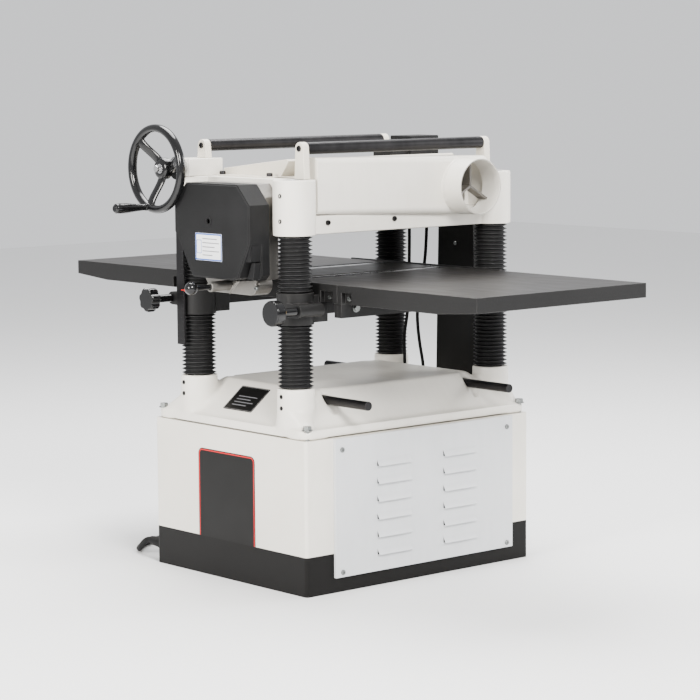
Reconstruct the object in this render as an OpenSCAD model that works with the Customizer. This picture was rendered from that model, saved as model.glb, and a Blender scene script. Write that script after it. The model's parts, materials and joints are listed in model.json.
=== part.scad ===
// Twenty-inch four-post thickness planer on a sheet-metal cabinet.
// Frame: origin on the floor under the cabinet's centre, +Z up, +Y the way the
// board is fed (outfeed end), +X the gearbox and handwheel side. Millimetres.
// "front" is the infeed end (-Y), "rear" the outfeed end (+Y),
// "right" the gearbox side (+X), "left" the belt side (-X).

/* [Table] */
// Width of the table across the feed
table_w = 508; // [406:1:640]
// Length of the main table
main_l = 542; // [480:1:700]
// Length of each extension table
extension_l = 436; // [300:1:560]
// Thickness of the table's edge
table_edge = 41; // [30:1:55]
// Thickness of the top plate
plate_t = 14; // [10:1:20]
// Diameter of the two bed rollers
bed_roller_d = 42; // [30:1:48]

/* [Columns] */
// Diameter of the guide columns
column_d = 56; // [46:1:60]
// Distance between the columns along the feed
column_gap_y = 347; // [330:1:420]
// Outer diameter of the collars on the table
collar_d = 82; // [78:1:92]
// Height of the collars
collar_h = 70; // [50:1:90]
// Rest length of the lower bellows
bellows_low = 140; // [125:1:200]
// Rest length of the upper bellows
bellows_up = 124; // [118:1:180]
// Outer diameter of the bellows
bellows_d = 79; // [70:1:82]
// Diameter of the lead screws
screw_d = 22; // [16:1:26]

/* [Cabinet and base] */
// Height of the sheet cabinet
cabinet_h = 343; // [270:1:420]
// Sheet thickness
sheet = 3; // [2:0.5:5]
// Cabinet wall beyond the column axis, at each side
side_margin = 42.5; // [42:0.5:70]
// Length of the cabinet along the feed
cabinet_l = 543; // [520:1:660]
// Height of the louvred panel
panel_h = 308; // [240:1:320]
// Width of the louvred panel
panel_w = 541; // [480:1:600]
// Diameter of the lifting bars
bar_d = 20; // [14:1:26]
// Length of the lifting bars
bar_l = 190; // [160:1:220]
// Reach of the pulled-out bars past the base slope
bar_reach = 134; // [90:1:160]

/* [Head] */
// Height of the head casting
head_h = 121; // [110:1:150]
// Diameter of the head's column sockets
head_socket_d = 94; // [88:1:100]
// Diameter of the cutterhead
cutter_d = 80; // [70:1:90]
// Diameter of the feed rollers
feed_roller_d = 60; // [50:1:64]
// Diameter of the return rollers on top
return_roller_d = 27; // [20:1:32]
// Outer diameter of the dust port
port_d = 127; // [100:1:128]
// Diameter of the handwheel
wheel_d = 200; // [160:1:220]

/* [Hidden] */
$fn = 64;

// Fits and small gaps
run_fit = 0.05;      // radial clearance of a running fit
seat = 0.02;         // radial gap of a fixed seat
gap = 0.4;           // gap between neighbours on different bodies

// Columns and the footprint
collar_r = collar_d / 2;
column_r = column_d / 2;
column_bore_r = screw_d / 2 + 8;
column_x = table_w / 2 + collar_r + 1;
mid_y = 16;
column_y = [mid_y - column_gap_y / 2, mid_y + column_gap_y / 2];
corners = [for (x = [column_x, -column_x]) for (y = column_y) [x, y]];
cabinet_w = 2 * (column_x + side_margin);
cab_x = cabinet_w / 2;
cab_y = cabinet_l / 2;

// Heights, from the floor up
flange_t = 22;
flange_z = cabinet_h + flange_t;
deck_z = flange_z + 75;
base_socket_z = flange_z + 85;
base_socket_d = 84;
column_foot_z = flange_z + 30;
sprocket_z = cabinet_h + 5;
sprocket_t = 8;
sprocket_r = 21;
bevel_r = 15;          // large end of the two bevel gears
bevel_t = 4;
collar_z = base_socket_z + bellows_low;
collar_top = collar_z + collar_h;
table_z = collar_top + 19;
head_z = collar_top + bellows_up;
head_top = head_z + head_h;
cut_z = head_z - 4;
cutter_z = cut_z + cutter_d / 2;
feed_z = cut_z - 1 + feed_roller_d / 2;
knob_z = collar_z + 34;

// Along the feed
main_y = mid_y - 6;
main_front = main_y - main_l / 2;
main_rear = main_y + main_l / 2;
feed_y = [mid_y - 96, mid_y + 90];
bed_y = [main_y - 120, main_y + 75];

// Base casting
slope_x = 60;
slope_y = 74;
deck_x = column_x - slope_x;
deck_y = column_gap_y / 2 - 6;
base_wall = 10;
bar_z = deck_z - 24;
bar_x = deck_x - 22;

// Head
wall_t = 38;
wall_x = column_x - 34;
socket_r = head_socket_d / 2;
beam_h = 41;
beam_t = 32;
beam_y = [column_y[0] + 4, column_y[1] + 15];
bracket_h = 39;
shaft_z = head_top + 18;
lug_t = 17;
lug_x = wall_x + 2;
roller_z = head_top + 67;

// Gearbox on the right side
gear_x = column_x + socket_r - 6;
cover_x = gear_x + 58;
cover_y = [-113, 154];
cover_z = [head_z - 98, head_z + 111];
gear_low_z = head_z - 134;
lever_y = 25;
lever_z = head_z - 116;

// Handwheel
rim_w = 18;
rim_t = 20;
wheel_x = cover_x + 4;
wheel_y = column_y[0];
hub_d = 48;
shaft_r = 11;
spoke_angles = [14, 134, 254];
handle_angle = 252;
handle_r = wheel_d / 2 - rim_w / 2;

// Belt drive on the left side
pulley_x = -(cab_x + 44);
pulley_t = 36;
motor_z = 170;
motor_pulley_r = 62;
motor_shaft_r = 14;
cutter_pulley_r = 43;
guard_in = cab_x + 10;
guard_depth = 64;

// Mains cord
cord_d = 14;
cord_r = cord_d / 2;
cord_x = 318;
coil_c = [90, -392.5];
coil_out = 96;
coil_in = 52.8;
coil_t = 28.4;
cord_path = [
  [318, -323.5, 42], [318, -330, 42], [318, -339, 40], [317, -350, 35], [315, -362, 27],
  [311, -375, 18.5], [305, -389, 11.5], [296, -403, 8], [284, -417, 7], [268, -431, 7],
  [249, -445, 7], [228, -457, 7], [206, -467, 7], [183, -474, 7], [160, -479, 7], [137, -481.5, 7],
  [114, -481.5, 7], [90, -481.5, 7]
];
// The last stretch, from the top of the coil to the plug
plug_x = -18;
cord_tail = [[1, -392.5, 21.4], [-3, -378, 20.8], [-10, -366, 19], [-16, -356, 17.5], [plug_x, -348, 17]];
plug_y = [-348, -290];
plug_r = 17;

// ---------- shared shapes ----------
module along_x(r, x0, x1) translate([x0, 0, 0]) rotate([0, 90, 0]) cylinder(r = r, h = x1 - x0);
module along_y(r, y0, y1) translate([0, y0, 0]) rotate([-90, 0, 0]) cylinder(r = r, h = y1 - y0);
module block(x, y, z) translate([x[0], y[0], z[0]]) cube([x[1] - x[0], y[1] - y[0], z[1] - z[0]]);
module rounded_plate(hx, hy, r, h) linear_extrude(h) rounded_rect(hx, hy, r);
module rounded_rect(hx, hy, r) {
  square([2 * hx, 2 * (hy - r)], center = true);
  square([2 * (hx - r), 2 * hy], center = true);
  for (x = [-1, 1], y = [-1, 1]) translate([x * (hx - r), y * (hy - r)]) circle(r);
}
module hex_bolt(af, h) cylinder(r = af / sqrt(3), h = h, $fn = 6);
// An outline in (Y, Z), extruded along +X
module yz_extrude(x0, x1) translate([x0, 0, 0]) rotate([90, 0, 90]) linear_extrude(x1 - x0) children();
// An outline in (X, Z), extruded along +Y

// ---------- cabinet and base ----------
panel_x = -10;
panel_z = 34;
panel_t = 8;
louvre_w = 100;
louvre_rows = 6;
louvre_pitch = (panel_h - 69) / louvre_rows;
motor_hole_r = 40;
panel_holes = [
  for (x = [-1, 1], z = [11, panel_h - 25]) [panel_x + x * (panel_w / 2 - 19), panel_z + z]
];

bolt_hole_r = 5.2;
// Well that the chain and its sprockets run in
module chain_well(h) rounded_plate(column_x + 28, column_gap_y / 2 + 46, 20, h);
module cabinet_shell() color("ghostwhite") difference() {
  rounded_plate(cab_x, cab_y, 8, cabinet_h);
  translate([0, 0, sheet]) rounded_plate(cab_x - sheet, cab_y - sheet, 5, cabinet_h - 2 * sheet);
  translate([0, 0, cabinet_h - 2 * sheet]) chain_well(3 * sheet);
  for (x = [-1, 1], y = [-1, 1]) translate([x * (cab_x - 16), y * (cab_y - 13), cabinet_h - 2 * sheet])
    cylinder(r = bolt_hole_r, h = 3 * sheet);
  block([panel_x - panel_w / 2 + 30, panel_x + panel_w / 2 - 30], [cab_y - 2 * sheet, cab_y + 1],
        [panel_z + 24, panel_z + panel_h - 24]);
  translate([0, mid_y, motor_z]) along_x(motor_hole_r, -cab_x - 1, -cab_x + 2 * sheet);
  translate([cord_x, 0, 42]) along_y(11, -cab_y - 1, -cab_y + 2 * sheet);
}

module louvre() {
  // pressed hood, open at its lower edge
  yz_extrude(-louvre_w / 2, louvre_w / 2) polygon([[0, 16], [0, 13.5], [6.5, 1.5], [6.5, 0], [8, 0], [8, 2]]);
}
module access_panel() color("ghostwhite") difference() {
  union() {
    difference() {
      block([panel_x - panel_w / 2, panel_x + panel_w / 2], [cab_y + 0.01, cab_y + panel_t],
            [panel_z, panel_z + panel_h]);
      block([panel_x - panel_w / 2 + 2, panel_x + panel_w / 2 - 2], [cab_y - 1, cab_y + panel_t - 2],
            [panel_z + 2, panel_z + panel_h - 2]);
      for (side = [-1, 1], row = [0 : louvre_rows - 1])
        block([panel_x + side * 100 - louvre_w / 2 + 1, panel_x + side * 100 + louvre_w / 2 - 1],
              [cab_y + panel_t - 3, cab_y + panel_t + 1],
              [panel_z + 37 + row * louvre_pitch, panel_z + 50 + row * louvre_pitch]);
    }
    for (side = [-1, 1], row = [0 : louvre_rows - 1])
      translate([panel_x + side * 100, cab_y + panel_t - 0.01, panel_z + 36.5 + row * louvre_pitch]) louvre();
    for (p = panel_holes) translate([p[0], 0, p[1]]) along_y(7, cab_y + 0.01, cab_y + panel_t);
  }
  for (p = panel_holes) translate([p[0], 0, p[1]]) along_y(3, cab_y - 1, cab_y + panel_t + 1);
}

module sheet_screws() color("silver") {
  for (p = panel_holes) translate([p[0], 0, p[1]]) {
    along_y(5.5, cab_y + panel_t, cab_y + panel_t + 3.5);
    along_y(2.9, cab_y + 0.5, cab_y + panel_t);
  }
  for (z = guard_screw_z) translate([0, mid_y, z]) along_x(4, -guard_in, -guard_in + 2.5);
}

// Black panel on the right wall, and the type plate on the base slope
module badge_plates() color([0.08, 0.08, 0.09]) {
  yz_extrude(cab_x, cab_x + 0.8) translate([-7, 191]) rounded_rect(102, 99, 12);
  translate(slope_point(0.53)) rotate([0, slope_angle, 0]) linear_extrude(0.8)
    square([74, 102], center = true);
}
// A point on the right slope of the base, t of the way from the flange to the deck
function slope_point(t) = [cab_x - 8 - t * (cab_x - 8 - deck_x), -3.5, flange_z + t * (deck_z - flange_z)];
slope_angle = 90 - atan2(cab_x - 8 - deck_x, deck_z - flange_z);

module base_shape(inset, low, high) hull() {
  translate([0, 0, low]) rounded_plate(cab_x - 8 - inset, cab_y - 22 - inset, 20, 1);
  translate([0, mid_y, high - 1]) rounded_plate(deck_x - inset, deck_y - inset, 24, 1);
}
module gusset(x, y) hull() {
  translate([x, y, flange_z - 1]) cylinder(r = base_socket_d / 2 + 3, h = 1, $fn = 32);
  translate([x, y, flange_z + 38]) cylinder(r = base_socket_d / 2, h = 1, $fn = 32);
  translate([sign(x) * (cab_x - 26), sign(y - mid_y) * (cab_y - 26), flange_z - 1]) cylinder(r = 14, h = 1, $fn = 32);
}
module base_casting() color("whitesmoke") difference() {
  union() {
    translate([0, 0, cabinet_h + 3]) rounded_plate(cab_x - 0.5, cab_y - 4, 25, flange_t - 3);
    for (x = [-1, 1], y = [-1, 1]) translate([x * (cab_x - 36), y * (cab_y - 38), cabinet_h])
      rounded_plate(35, 33, 20, 4);
    base_shape(0, flange_z - 1, deck_z);
    for (c = corners) gusset(c[0], c[1]);
    for (c = corners) translate([c[0], c[1], sprocket_z + sprocket_t + 8])
      cylinder(d = base_socket_d, h = base_socket_z - sprocket_z - sprocket_t - 8);
    for (c = corners) translate([sign(c[0]) * bar_x, 0, bar_z])
      along_y(bar_d / 2 + 8, min(c[1] * 0.2 + mid_y * 0.8, bar_in(c[1])), max(c[1] * 0.2 + mid_y * 0.8, bar_in(c[1])));
  }
  difference() {
    base_shape(base_wall, cabinet_h - 10, deck_z - base_wall);
    for (c = corners) translate([c[0], c[1], sprocket_z + sprocket_t + 8]) cylinder(d = base_socket_d, h = 200);
    for (c = corners) translate([sign(c[0]) * bar_x, 0, bar_z])
      along_y(bar_d / 2 + 8, min(c[1] * 0.2 + mid_y * 0.8, bar_in(c[1])), max(c[1] * 0.2 + mid_y * 0.8, bar_in(c[1])));
    for (c = corners) bar_pocket(c, base_wall);
  }
  for (c = corners) difference() {
    bar_pocket(c, 0);
    translate([c[0], c[1], flange_z]) cylinder(d = base_socket_d, h = base_socket_z - flange_z + 1);
  }
  translate([0, 0, cabinet_h - 1]) chain_well(sprocket_z + sprocket_t + 4 - cabinet_h + 1);
  for (c = corners) translate([c[0], c[1], 0]) {
    translate([0, 0, column_foot_z]) cylinder(r = column_r + seat, h = 100);
    translate([0, 0, cabinet_h]) cylinder(r = screw_d / 2 + run_fit, h = 100);
  }
  for (x = [-1, 1]) translate([x * bar_x, 0, bar_z]) along_y(bar_d / 2 + run_fit, -cab_y - 10, cab_y + 10);
  for (x = [-1, 1], y = [-1, 1]) translate([x * (cab_x - 16), y * (cab_y - 13), cabinet_h - 1])
    cylinder(r = bolt_hole_r, h = flange_t + 2);
  for (x = [-1, 1], y = [-1, 1]) translate([x * (cab_x - 16), y * (cab_y - 13), flange_z])
    cylinder(r = 13, h = 30);
}
// Where the slope meets a lifting bar, at the end of the casting on that side
function bar_in(y) = mid_y + sign(y - mid_y) * (deck_y + slope_y * (deck_z - bar_z) / (deck_z - flange_z) - 4);
// A recess with four slanting sides, round the place where a bar comes out
pocket_low = bar_z - 34;
pocket_h = 66;
module bar_pocket(c, wall) translate([sign(c[0]) * bar_x, bar_in(c[1]) + sign(c[1] - mid_y) * bar_d, pocket_low - wall])
  cylinder(r1 = 3 + wall, r2 = 3 + wall + 0.85 * (pocket_h + wall), h = pocket_h + wall, $fn = 4);

module base_bolts() color("silver") for (x = [-1, 1], y = [-1, 1])
  translate([x * (cab_x - 16), y * (cab_y - 13), 0]) {
    translate([0, 0, flange_z + 2]) hex_bolt(17, 8);
    translate([0, 0, flange_z]) cylinder(r = 12, h = 2);
    translate([0, 0, cabinet_h - 12]) cylinder(r = 5, h = flange_t + 12);
  }

module lifting_bar(x, y) color([0.25, 0.25, 0.26]) translate([x * bar_x, 0, bar_z])
  if (y > 0) along_y(bar_d / 2, bar_in(999) + bar_reach - bar_l, bar_in(999) + bar_reach);
  else along_y(bar_d / 2, bar_in(-999) - bar_reach, bar_in(-999) - bar_reach + bar_l);
module lifting_bar_front_right() lifting_bar(1, -1);
module lifting_bar_rear_right() lifting_bar(1, 1);
module lifting_bar_front_left() lifting_bar(-1, -1);
module lifting_bar_rear_left() lifting_bar(-1, 1);

// ---------- columns, screws and chain ----------
slot_w = 14;
module guide_columns() color("silver") for (c = corners) translate([c[0], c[1], 0]) difference() {
  translate([0, 0, column_foot_z]) cylinder(r = column_r, h = head_top - column_foot_z);
  translate([0, 0, column_foot_z - 1]) cylinder(r = column_bore_r, h = head_top - column_foot_z + 2);
  block(c[0] > 0 ? [-column_r - 1, 0] : [0, column_r + 1], [-slot_w / 2, slot_w / 2], [base_socket_z + 3, head_z - 3]);
}
module lead_screw(i) color("lightsteelblue") translate([corners[i][0], corners[i][1], 0]) {
  cylinder_z(screw_d / 2, sprocket_z + sprocket_t, head_top - 6);
  cylinder_z(screw_d / 2 - 3, sprocket_z - 6, sprocket_z);
  difference() {
    cylinder_z(sprocket_r, sprocket_z, sprocket_z + sprocket_t);
    for (a = [0 : 20 : 359]) rotate(a) translate([sprocket_r + 1, 0, sprocket_z - 1]) cylinder(r = 2.4, h = sprocket_t + 2);
  }
  // the front right screw carries the bevel gear of the handwheel
  if (i == 0) {
    cylinder_z(shaft_r - 3, head_top - 6, shaft_z - bevel_r + 2);
    translate([0, 0, shaft_z - bevel_r - gap]) cylinder(r1 = bevel_r, r2 = bevel_r - bevel_t, h = bevel_t);
  }
}
module cylinder_z(r, z0, z1) translate([0, 0, z0]) cylinder(r = r, h = z1 - z0);
module lead_screw_front_right() lead_screw(0);
module lead_screw_rear_right() lead_screw(1);
module lead_screw_front_left() lead_screw(2);
module lead_screw_rear_left() lead_screw(3);

chain_in = sprocket_r + gap;
module chain_loop(r) hull() for (c = corners) translate([c[0], c[1]]) circle(r, $fn = 32);
module sync_chain() color("dimgray") translate([0, 0, sprocket_z + 2]) linear_extrude(4) difference() {
  chain_loop(chain_in + 4);
  chain_loop(chain_in);
}

// ---------- motor and belt drive ----------
module motor() color("darkslategray") {
  translate([0, mid_y, motor_z]) {
    along_x(95, -250, 60);
    along_x(84, 60, 100);
    along_x(motor_shaft_r, pulley_x - pulley_t / 2 + 3, -250);
  }
  block([-110, 0], [mid_y - 40, mid_y + 40], [motor_z + 80, motor_z + 125]);
}
module motor_mount() color("dimgray") difference() {
  union() {
    block([-240, 50], [mid_y - 110, mid_y + 110], [sheet, sheet + 8]);
    for (x = [-220, 14]) block([x, x + 16], [mid_y - 90, mid_y + 90], [sheet + 8, motor_z - 30]);
  }
  translate([0, mid_y, motor_z]) along_x(95, -260, 70);
}
module grooved_pulley(r) difference() {
  along_x(r, pulley_x - pulley_t / 2, pulley_x + pulley_t / 2);
  for (i = [-1, 0, 1]) translate([pulley_x + i * 11, 0, 0]) rotate([0, 90, 0]) rotate_extrude()
    polygon([[r + 1, -4.8], [r - 8, -2.4], [r - 8, 2.4], [r + 1, 4.8]]);
}
module motor_pulley() color("gray") translate([0, mid_y, motor_z]) difference() {
  grooved_pulley(motor_pulley_r);
  along_x(motor_shaft_r + run_fit, pulley_x - pulley_t / 2 - 1, pulley_x + pulley_t / 2 + 1);
}
module drive_belts() color([0.1, 0.1, 0.1]) for (i = [-1, 0, 1]) yz_extrude(pulley_x + i * 11 - 2, pulley_x + i * 11 + 2)
  difference() {
    belt_line(-1.5);
    belt_line(-7.3);
  }
module belt_line(d) hull() {
  translate([mid_y, motor_z]) circle(motor_pulley_r + d, $fn = 48);
  translate([mid_y, cutter_z]) circle(cutter_pulley_r + d, $fn = 48);
}
guard_screw_z = [deck_z + 300 - 15, deck_z - 130];
guard_t = 2.5;
module guard_line(d) hull() {
  translate([mid_y, motor_z]) circle(motor_pulley_r + 14 + d, $fn = 48);
  translate([mid_y, cutter_z]) circle(cutter_pulley_r + 16 + d, $fn = 48);
}
module belt_guard() color([0.12, 0.12, 0.13]) difference() {
  union() {
    difference() {
      yz_extrude(-guard_in - guard_depth, -guard_in) guard_line(0);
      yz_extrude(-guard_in - guard_depth + guard_t, -guard_in - guard_t) guard_line(-guard_t);
    }
    for (z = [motor_z + 60, motor_z + 110]) translate([0, mid_y, z]) along_x(9, -guard_in, -cab_x);
    for (y = [-42, 42]) translate([0, mid_y + y, head_z + 14]) along_x(8, -guard_in, -wall_x - wall_t);
  }
  translate([0, mid_y, motor_z]) along_x(30, -guard_in - 5, -guard_in + 1);
  translate([0, mid_y, cutter_z]) along_x(30, -guard_in - 5, -guard_in + 1);
}

// ---------- table ----------
rib = 12;
module collar_arm(c) {
  in_x = sign(c[0]) * (table_w / 2 - 26);
  block([min(in_x, c[0]), max(in_x, c[0])], [c[1] - 30, c[1] + 30], [collar_z + 4, collar_top - 6]);
}
// Split clamp lug beside each right-hand collar, with the lock screw along X
function lug_y(y) = y + sign(y - mid_y) * 50;
module table_casting() color([0.2, 0.2, 0.21]) difference() {
  union() {
    block([-table_w / 2, table_w / 2], [main_front, main_rear], [table_z - table_edge, table_z]);
    for (c = corners) collar_arm(c);
    for (c = corners) translate([c[0], c[1], collar_z]) cylinder(r = collar_r, h = collar_h);
    for (y = column_y) {
      block([-table_w / 2 + 26, table_w / 2 - 26], [y - 7, y + 7], [collar_z + 18, table_z - 10]);
      block([column_x + 2, column_x + 38], [min(y, lug_y(y)), max(y, lug_y(y))], [knob_z - 15, knob_z + 15]);
      translate([0, lug_y(y), knob_z]) along_x(15, column_x - 30, column_x + 38);
    }
    // flanges where the extensions bolt on
    for (y = [main_front, main_rear - rib]) block([-table_w / 2 + 8, table_w / 2 - 2], [y, y + rib],
      [table_z - 72, table_z - 10]);
    // work guide along the far edge
    block([-table_w / 2, -table_w / 2 + 6], [main_front + 10, main_rear - 10], [table_z - 1, table_z + 3]);
  }
  // hollow underside between the aprons
  for (y = [[main_front + rib + 2, column_y[0] - 9], [column_y[0] + 9, column_y[1] - 9], [column_y[1] + 9, main_rear - rib - 2]])
    block([-table_w / 2 + 14, table_w / 2 - 14], y, [table_z - table_edge - 1, table_z - plate_t]);
  for (y = bed_y) {
    block([-bed_l / 2 - 1, bed_l / 2 + 1], [y - bed_roller_d / 2 - 1, y + bed_roller_d / 2 + 1],
          [table_z - table_edge - 1, table_z + 1]);
    translate([0, y, bed_z]) along_x(6 + run_fit, -table_w / 2 + 2, table_w / 2 - 2);
  }
  for (c = corners) translate([c[0], c[1], collar_z - 1]) cylinder(r = column_r + run_fit, h = collar_h + 2);
  for (y = column_y) translate([0, lug_y(y), knob_z]) along_x(6 + run_fit, column_x - 34, column_x + 40);
  for (x = bolt_xs, y = [main_front - 1, main_rear - rib - 1])
    translate([x, 0, table_z - 52]) along_y(5.2, y, y + rib + 2);
  // cast pockets with the bolts at the near edge
  for (y = [main_front + 14, main_rear - 56]) block([table_w / 2 - 12, table_w / 2 + 1], [y, y + 42],
    [table_z - table_edge - 1, table_z - 16]);
}
bolt_xs = [for (i = [-2 : 2]) i * 105];
bed_l = table_w - 60;
bed_z = table_z + 0.4 - bed_roller_d / 2;

// Extension table: full depth near the joint, thinner edge at the free end
taper_l = 122;
tip_edge = 32;
module extension(s) difference() {
  union() {
    y0 = s > 0 ? main_rear : main_front;
    yz_extrude(-table_w / 2, table_w / 2) polygon([
      [y0 + s * 0.01, table_z], [y0 + s * extension_l, table_z], [y0 + s * extension_l, table_z - tip_edge],
      [y0 + s * (extension_l - taper_l), table_z - table_edge], [y0 + s * 0.01, table_z - table_edge]
    ]);
    block([-table_w / 2 + 8, table_w / 2 - 2],
          [min(y0 + s * 0.01, y0 + s * rib), max(y0 + s * 0.01, y0 + s * rib)], [table_z - 72, table_z - 10]);
  }
  y0 = s > 0 ? main_rear : main_front;
  bays = 3;
  bay_l = (extension_l - taper_l - 2 * rib) / bays;
  for (i = [0 : bays - 1], h = [-1, 1]) {
    a = y0 + s * (rib + 4 + i * bay_l);
    b = a + s * (bay_l - rib);
    block([h > 0 ? 6 : -table_w / 2 + 14, h > 0 ? table_w / 2 - 14 : -6], [min(a, b), max(a, b)],
          [table_z - table_edge - 1, table_z - plate_t]);
  }
  for (x = bolt_xs) translate([x, 0, table_z - 52])
    along_y(5.2, min(y0 - 1, y0 + s * (rib + 1)), max(y0 + 1, y0 + s * (rib + 1)));
  // bolt pocket at the near edge
  a = y0 + s * 14;
  b = y0 + s * 46;
  block([table_w / 2 - 12, table_w / 2 + 1], [min(a, b), max(a, b)], [table_z - table_edge - 1, table_z - 16]);
}
module infeed_extension() color([0.19, 0.19, 0.2]) extension(-1);
module outfeed_extension() color([0.19, 0.19, 0.2]) extension(1);

module bed_roller(y) color("silver") translate([0, y, bed_z]) {
  along_x(bed_roller_d / 2, -bed_l / 2, bed_l / 2);
  along_x(6, -table_w / 2 + 4, table_w / 2 - 4);
}
module bed_roller_front() bed_roller(bed_y[0]);
module bed_roller_rear() bed_roller(bed_y[1]);

knob_r = 28;
knob_x = column_x + 38;
module lock_knob(y, lobes) color([0.07, 0.07, 0.07]) translate([0, lug_y(y), knob_z]) {
  along_x(6, column_x - 20, knob_x + 20);
  along_x(9, knob_x + 1, knob_x + 50);
  difference() {
    union() {
      along_x(knob_r - 2, knob_x + 50, knob_x + 74);
      along_x(knob_r, knob_x + 53, knob_x + 71);
    }
    if (lobes > 0) for (i = [0 : lobes - 1]) rotate([i * 360 / lobes, 0, 0])
      translate([0, 0, knob_r + 7]) along_x(12, knob_x + 49, knob_x + 75);
  }
}
module lock_knob_front() lock_knob(column_y[0], 7);
module lock_knob_rear() lock_knob(column_y[1], 0);

module height_pointer() color("crimson") {
  y = column_y[0];
  block([column_x + sqrt(pow(collar_r, 2) - pow(17, 2)), gear_x + 3.6], [y + 17, y + 20], [collar_top - 16, collar_top - 10]);
  block([gear_x + 3.6, gear_x + 12.4], [y + 17, y + 20], [collar_top - 16, collar_top - 10]);
  block([gear_x + 11.4, gear_x + 12.4], [y + 6, y + 17], [collar_top - 14, collar_top - 12]);
}
nut_h = 46;
key_reach = sqrt(pow(column_r, 2) - pow(slot_w / 2, 2));
module lift_nuts() color("goldenrod") for (c = corners) translate([c[0], c[1], collar_z + 12]) difference() {
  union() {
    cylinder(r = column_bore_r - 0.3, h = nut_h);
    block(c[0] > 0 ? [-key_reach, 0] : [0, key_reach], [-slot_w / 2 + 0.5, slot_w / 2 - 0.5], [4, nut_h - 4]);
  }
  translate([0, 0, -1]) cylinder(r = screw_d / 2 + 0.3, h = nut_h + 2);
}

module bellows(z0, z1) for (c = corners) translate([c[0], c[1], z0]) difference() {
  cylinder(d = bellows_d, h = z1 - z0);
  translate([0, 0, -1]) cylinder(d = column_d + 6, h = z1 - z0 + 2);
}
module lower_bellows() color([0.06, 0.06, 0.06]) bellows(base_socket_z + seat, collar_z - seat);
module upper_bellows() color([0.06, 0.06, 0.06]) bellows(collar_top + seat, head_z - seat);

// ---------- head ----------
module head_casting() color("whitesmoke") difference() {
  union() {
    for (c = corners) translate([c[0], c[1], head_z]) cylinder(r = socket_r, h = head_h);
    for (s = [-1, 1]) block([min(s * wall_x, s * (wall_x + wall_t)), max(s * wall_x, s * (wall_x + wall_t))],
      column_y, [head_z, head_top]);
    block([-wall_x, wall_x], [beam_y[0] - beam_t, beam_y[0]], [head_z, head_top]);
    block([-wall_x, wall_x], [beam_y[1] - beam_t, beam_y[1]], [head_z, head_z + beam_h]);
  }
  for (c = corners) translate([c[0], c[1], head_z - 1]) cylinder(r = column_r + seat, h = head_h + 2);
  translate([0, mid_y, cutter_z]) along_x(16 + run_fit, -wall_x - wall_t - 1, wall_x + wall_t + 1);
  for (y = feed_y) translate([0, y, feed_z]) along_x(12 + run_fit, -wall_x - wall_t - 1, wall_x + wall_t + 1);
  translate([0, chip_y, chip_z]) along_x(6 + run_fit, -wall_x - 12, wall_x + 12);
  translate([0, finger_y, finger_z]) along_x(5 + run_fit, -wall_x - 6, wall_x + 6);
}
cover_top = [head_top + 16, head_top + 41];
module head_cover() color("floralwhite") difference() {
  union() {
    yz_extrude(-wall_x + 12, wall_x - 12) difference() {
      cover_line();
      offset(delta = -3) cover_line();
    }
    for (s = [-1, 1]) yz_extrude(s > 0 ? wall_x - 15 : -wall_x + 12, s > 0 ? wall_x - 12 : -wall_x + 15) cover_line();
    for (s = [-1, 1]) block(s > 0 ? [wall_x - 12.5, wall_x + 20] : [-wall_x - 20, -wall_x + 12.5],
      [mid_y - 116, mid_y + 68], [head_top + 0.01, head_top + 3]);
    // sheet that closes the top between the cover and the hood
    block([-wall_x + 12, wall_x - 12], [mid_y + 62, hood_back - 0.5], [head_top + 0.01, head_top + 3]);
  }
  for (p = cover_bolt_at) translate([p[0], p[1], head_top - 1]) cylinder(r = 4.5, h = 6);
  yz_extrude(-wall_x + 16, wall_x - 16) polygon([[mid_y - 120, head_top - 2], [mid_y - 120, head_top + 8],
    [mid_y + 50, head_top + 8], [mid_y + 50, head_top - 2]]);
}
module cover_line() polygon([
  [mid_y - 132, head_top], [mid_y - 132, cover_top[0]], [mid_y + 94, cover_top[1]], [mid_y + 100, cover_top[1] - 4],
  [mid_y + 70, head_top]
]);
cover_bolt_at = [for (s = [-1, 1], y = [mid_y - 108, mid_y + 60]) [s * (wall_x + 10), y]];
hood_bolt_x = [wall_x / 14, wall_x - 48];
module head_bolts() color("dimgray") {
  for (p = cover_bolt_at) translate([p[0], p[1], head_top + 3]) cylinder(r = 7.5, h = 8);
  for (p = cover_bolt_at) translate([p[0], p[1], head_top]) cylinder(r = 4, h = 3);
  for (x = hood_bolt_x) translate([x, 0, head_z + beam_h - 16]) along_y(5.5, beam_y[1], beam_y[1] + 5);
  for (s = [-1, 1], y = column_y) translate([0, y, roller_z])
    along_x(6.5, s > 0 ? lug_x + lug_t : -lug_x - lug_t - 3, s > 0 ? lug_x + lug_t + 3 : -lug_x - lug_t);
}
bracket_y = [column_y[0] - 35, column_y[0] + 35];
module handwheel_bracket() color("whitesmoke") difference() {
  block([column_x - 49, column_x + socket_r], bracket_y, [head_top + 0.01, head_top + bracket_h]);
  block([column_x - 40, column_x + socket_r - 8], [bracket_y[0] + 8, bracket_y[1] - 8],
        [head_top - 1, head_top + bracket_h - 5]);
  translate([0, wheel_y, shaft_z]) along_x(shaft_r + run_fit, column_x, column_x + socket_r + 1);
}
module lug_outline(h) {
  translate([0, h]) circle(14);
  polygon([[-17, 0], [-14, h], [14, h], [17, 0]]);
}
module roller_lugs() color("floralwhite") for (c = corners) difference() {
  z0 = c == corners[0] ? head_top + bracket_h : head_top;
  yz_extrude(c[0] > 0 ? lug_x : -lug_x - lug_t, c[0] > 0 ? lug_x + lug_t : -lug_x)
    translate([c[1], z0 + 0.01]) lug_outline(roller_z - z0);
  translate([0, c[1], roller_z]) along_x(6 + run_fit, min(sign(c[0]) * (lug_x - 1), sign(c[0]) * (lug_x + 9)),
    max(sign(c[0]) * (lug_x - 1), sign(c[0]) * (lug_x + 9)));
}
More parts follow.
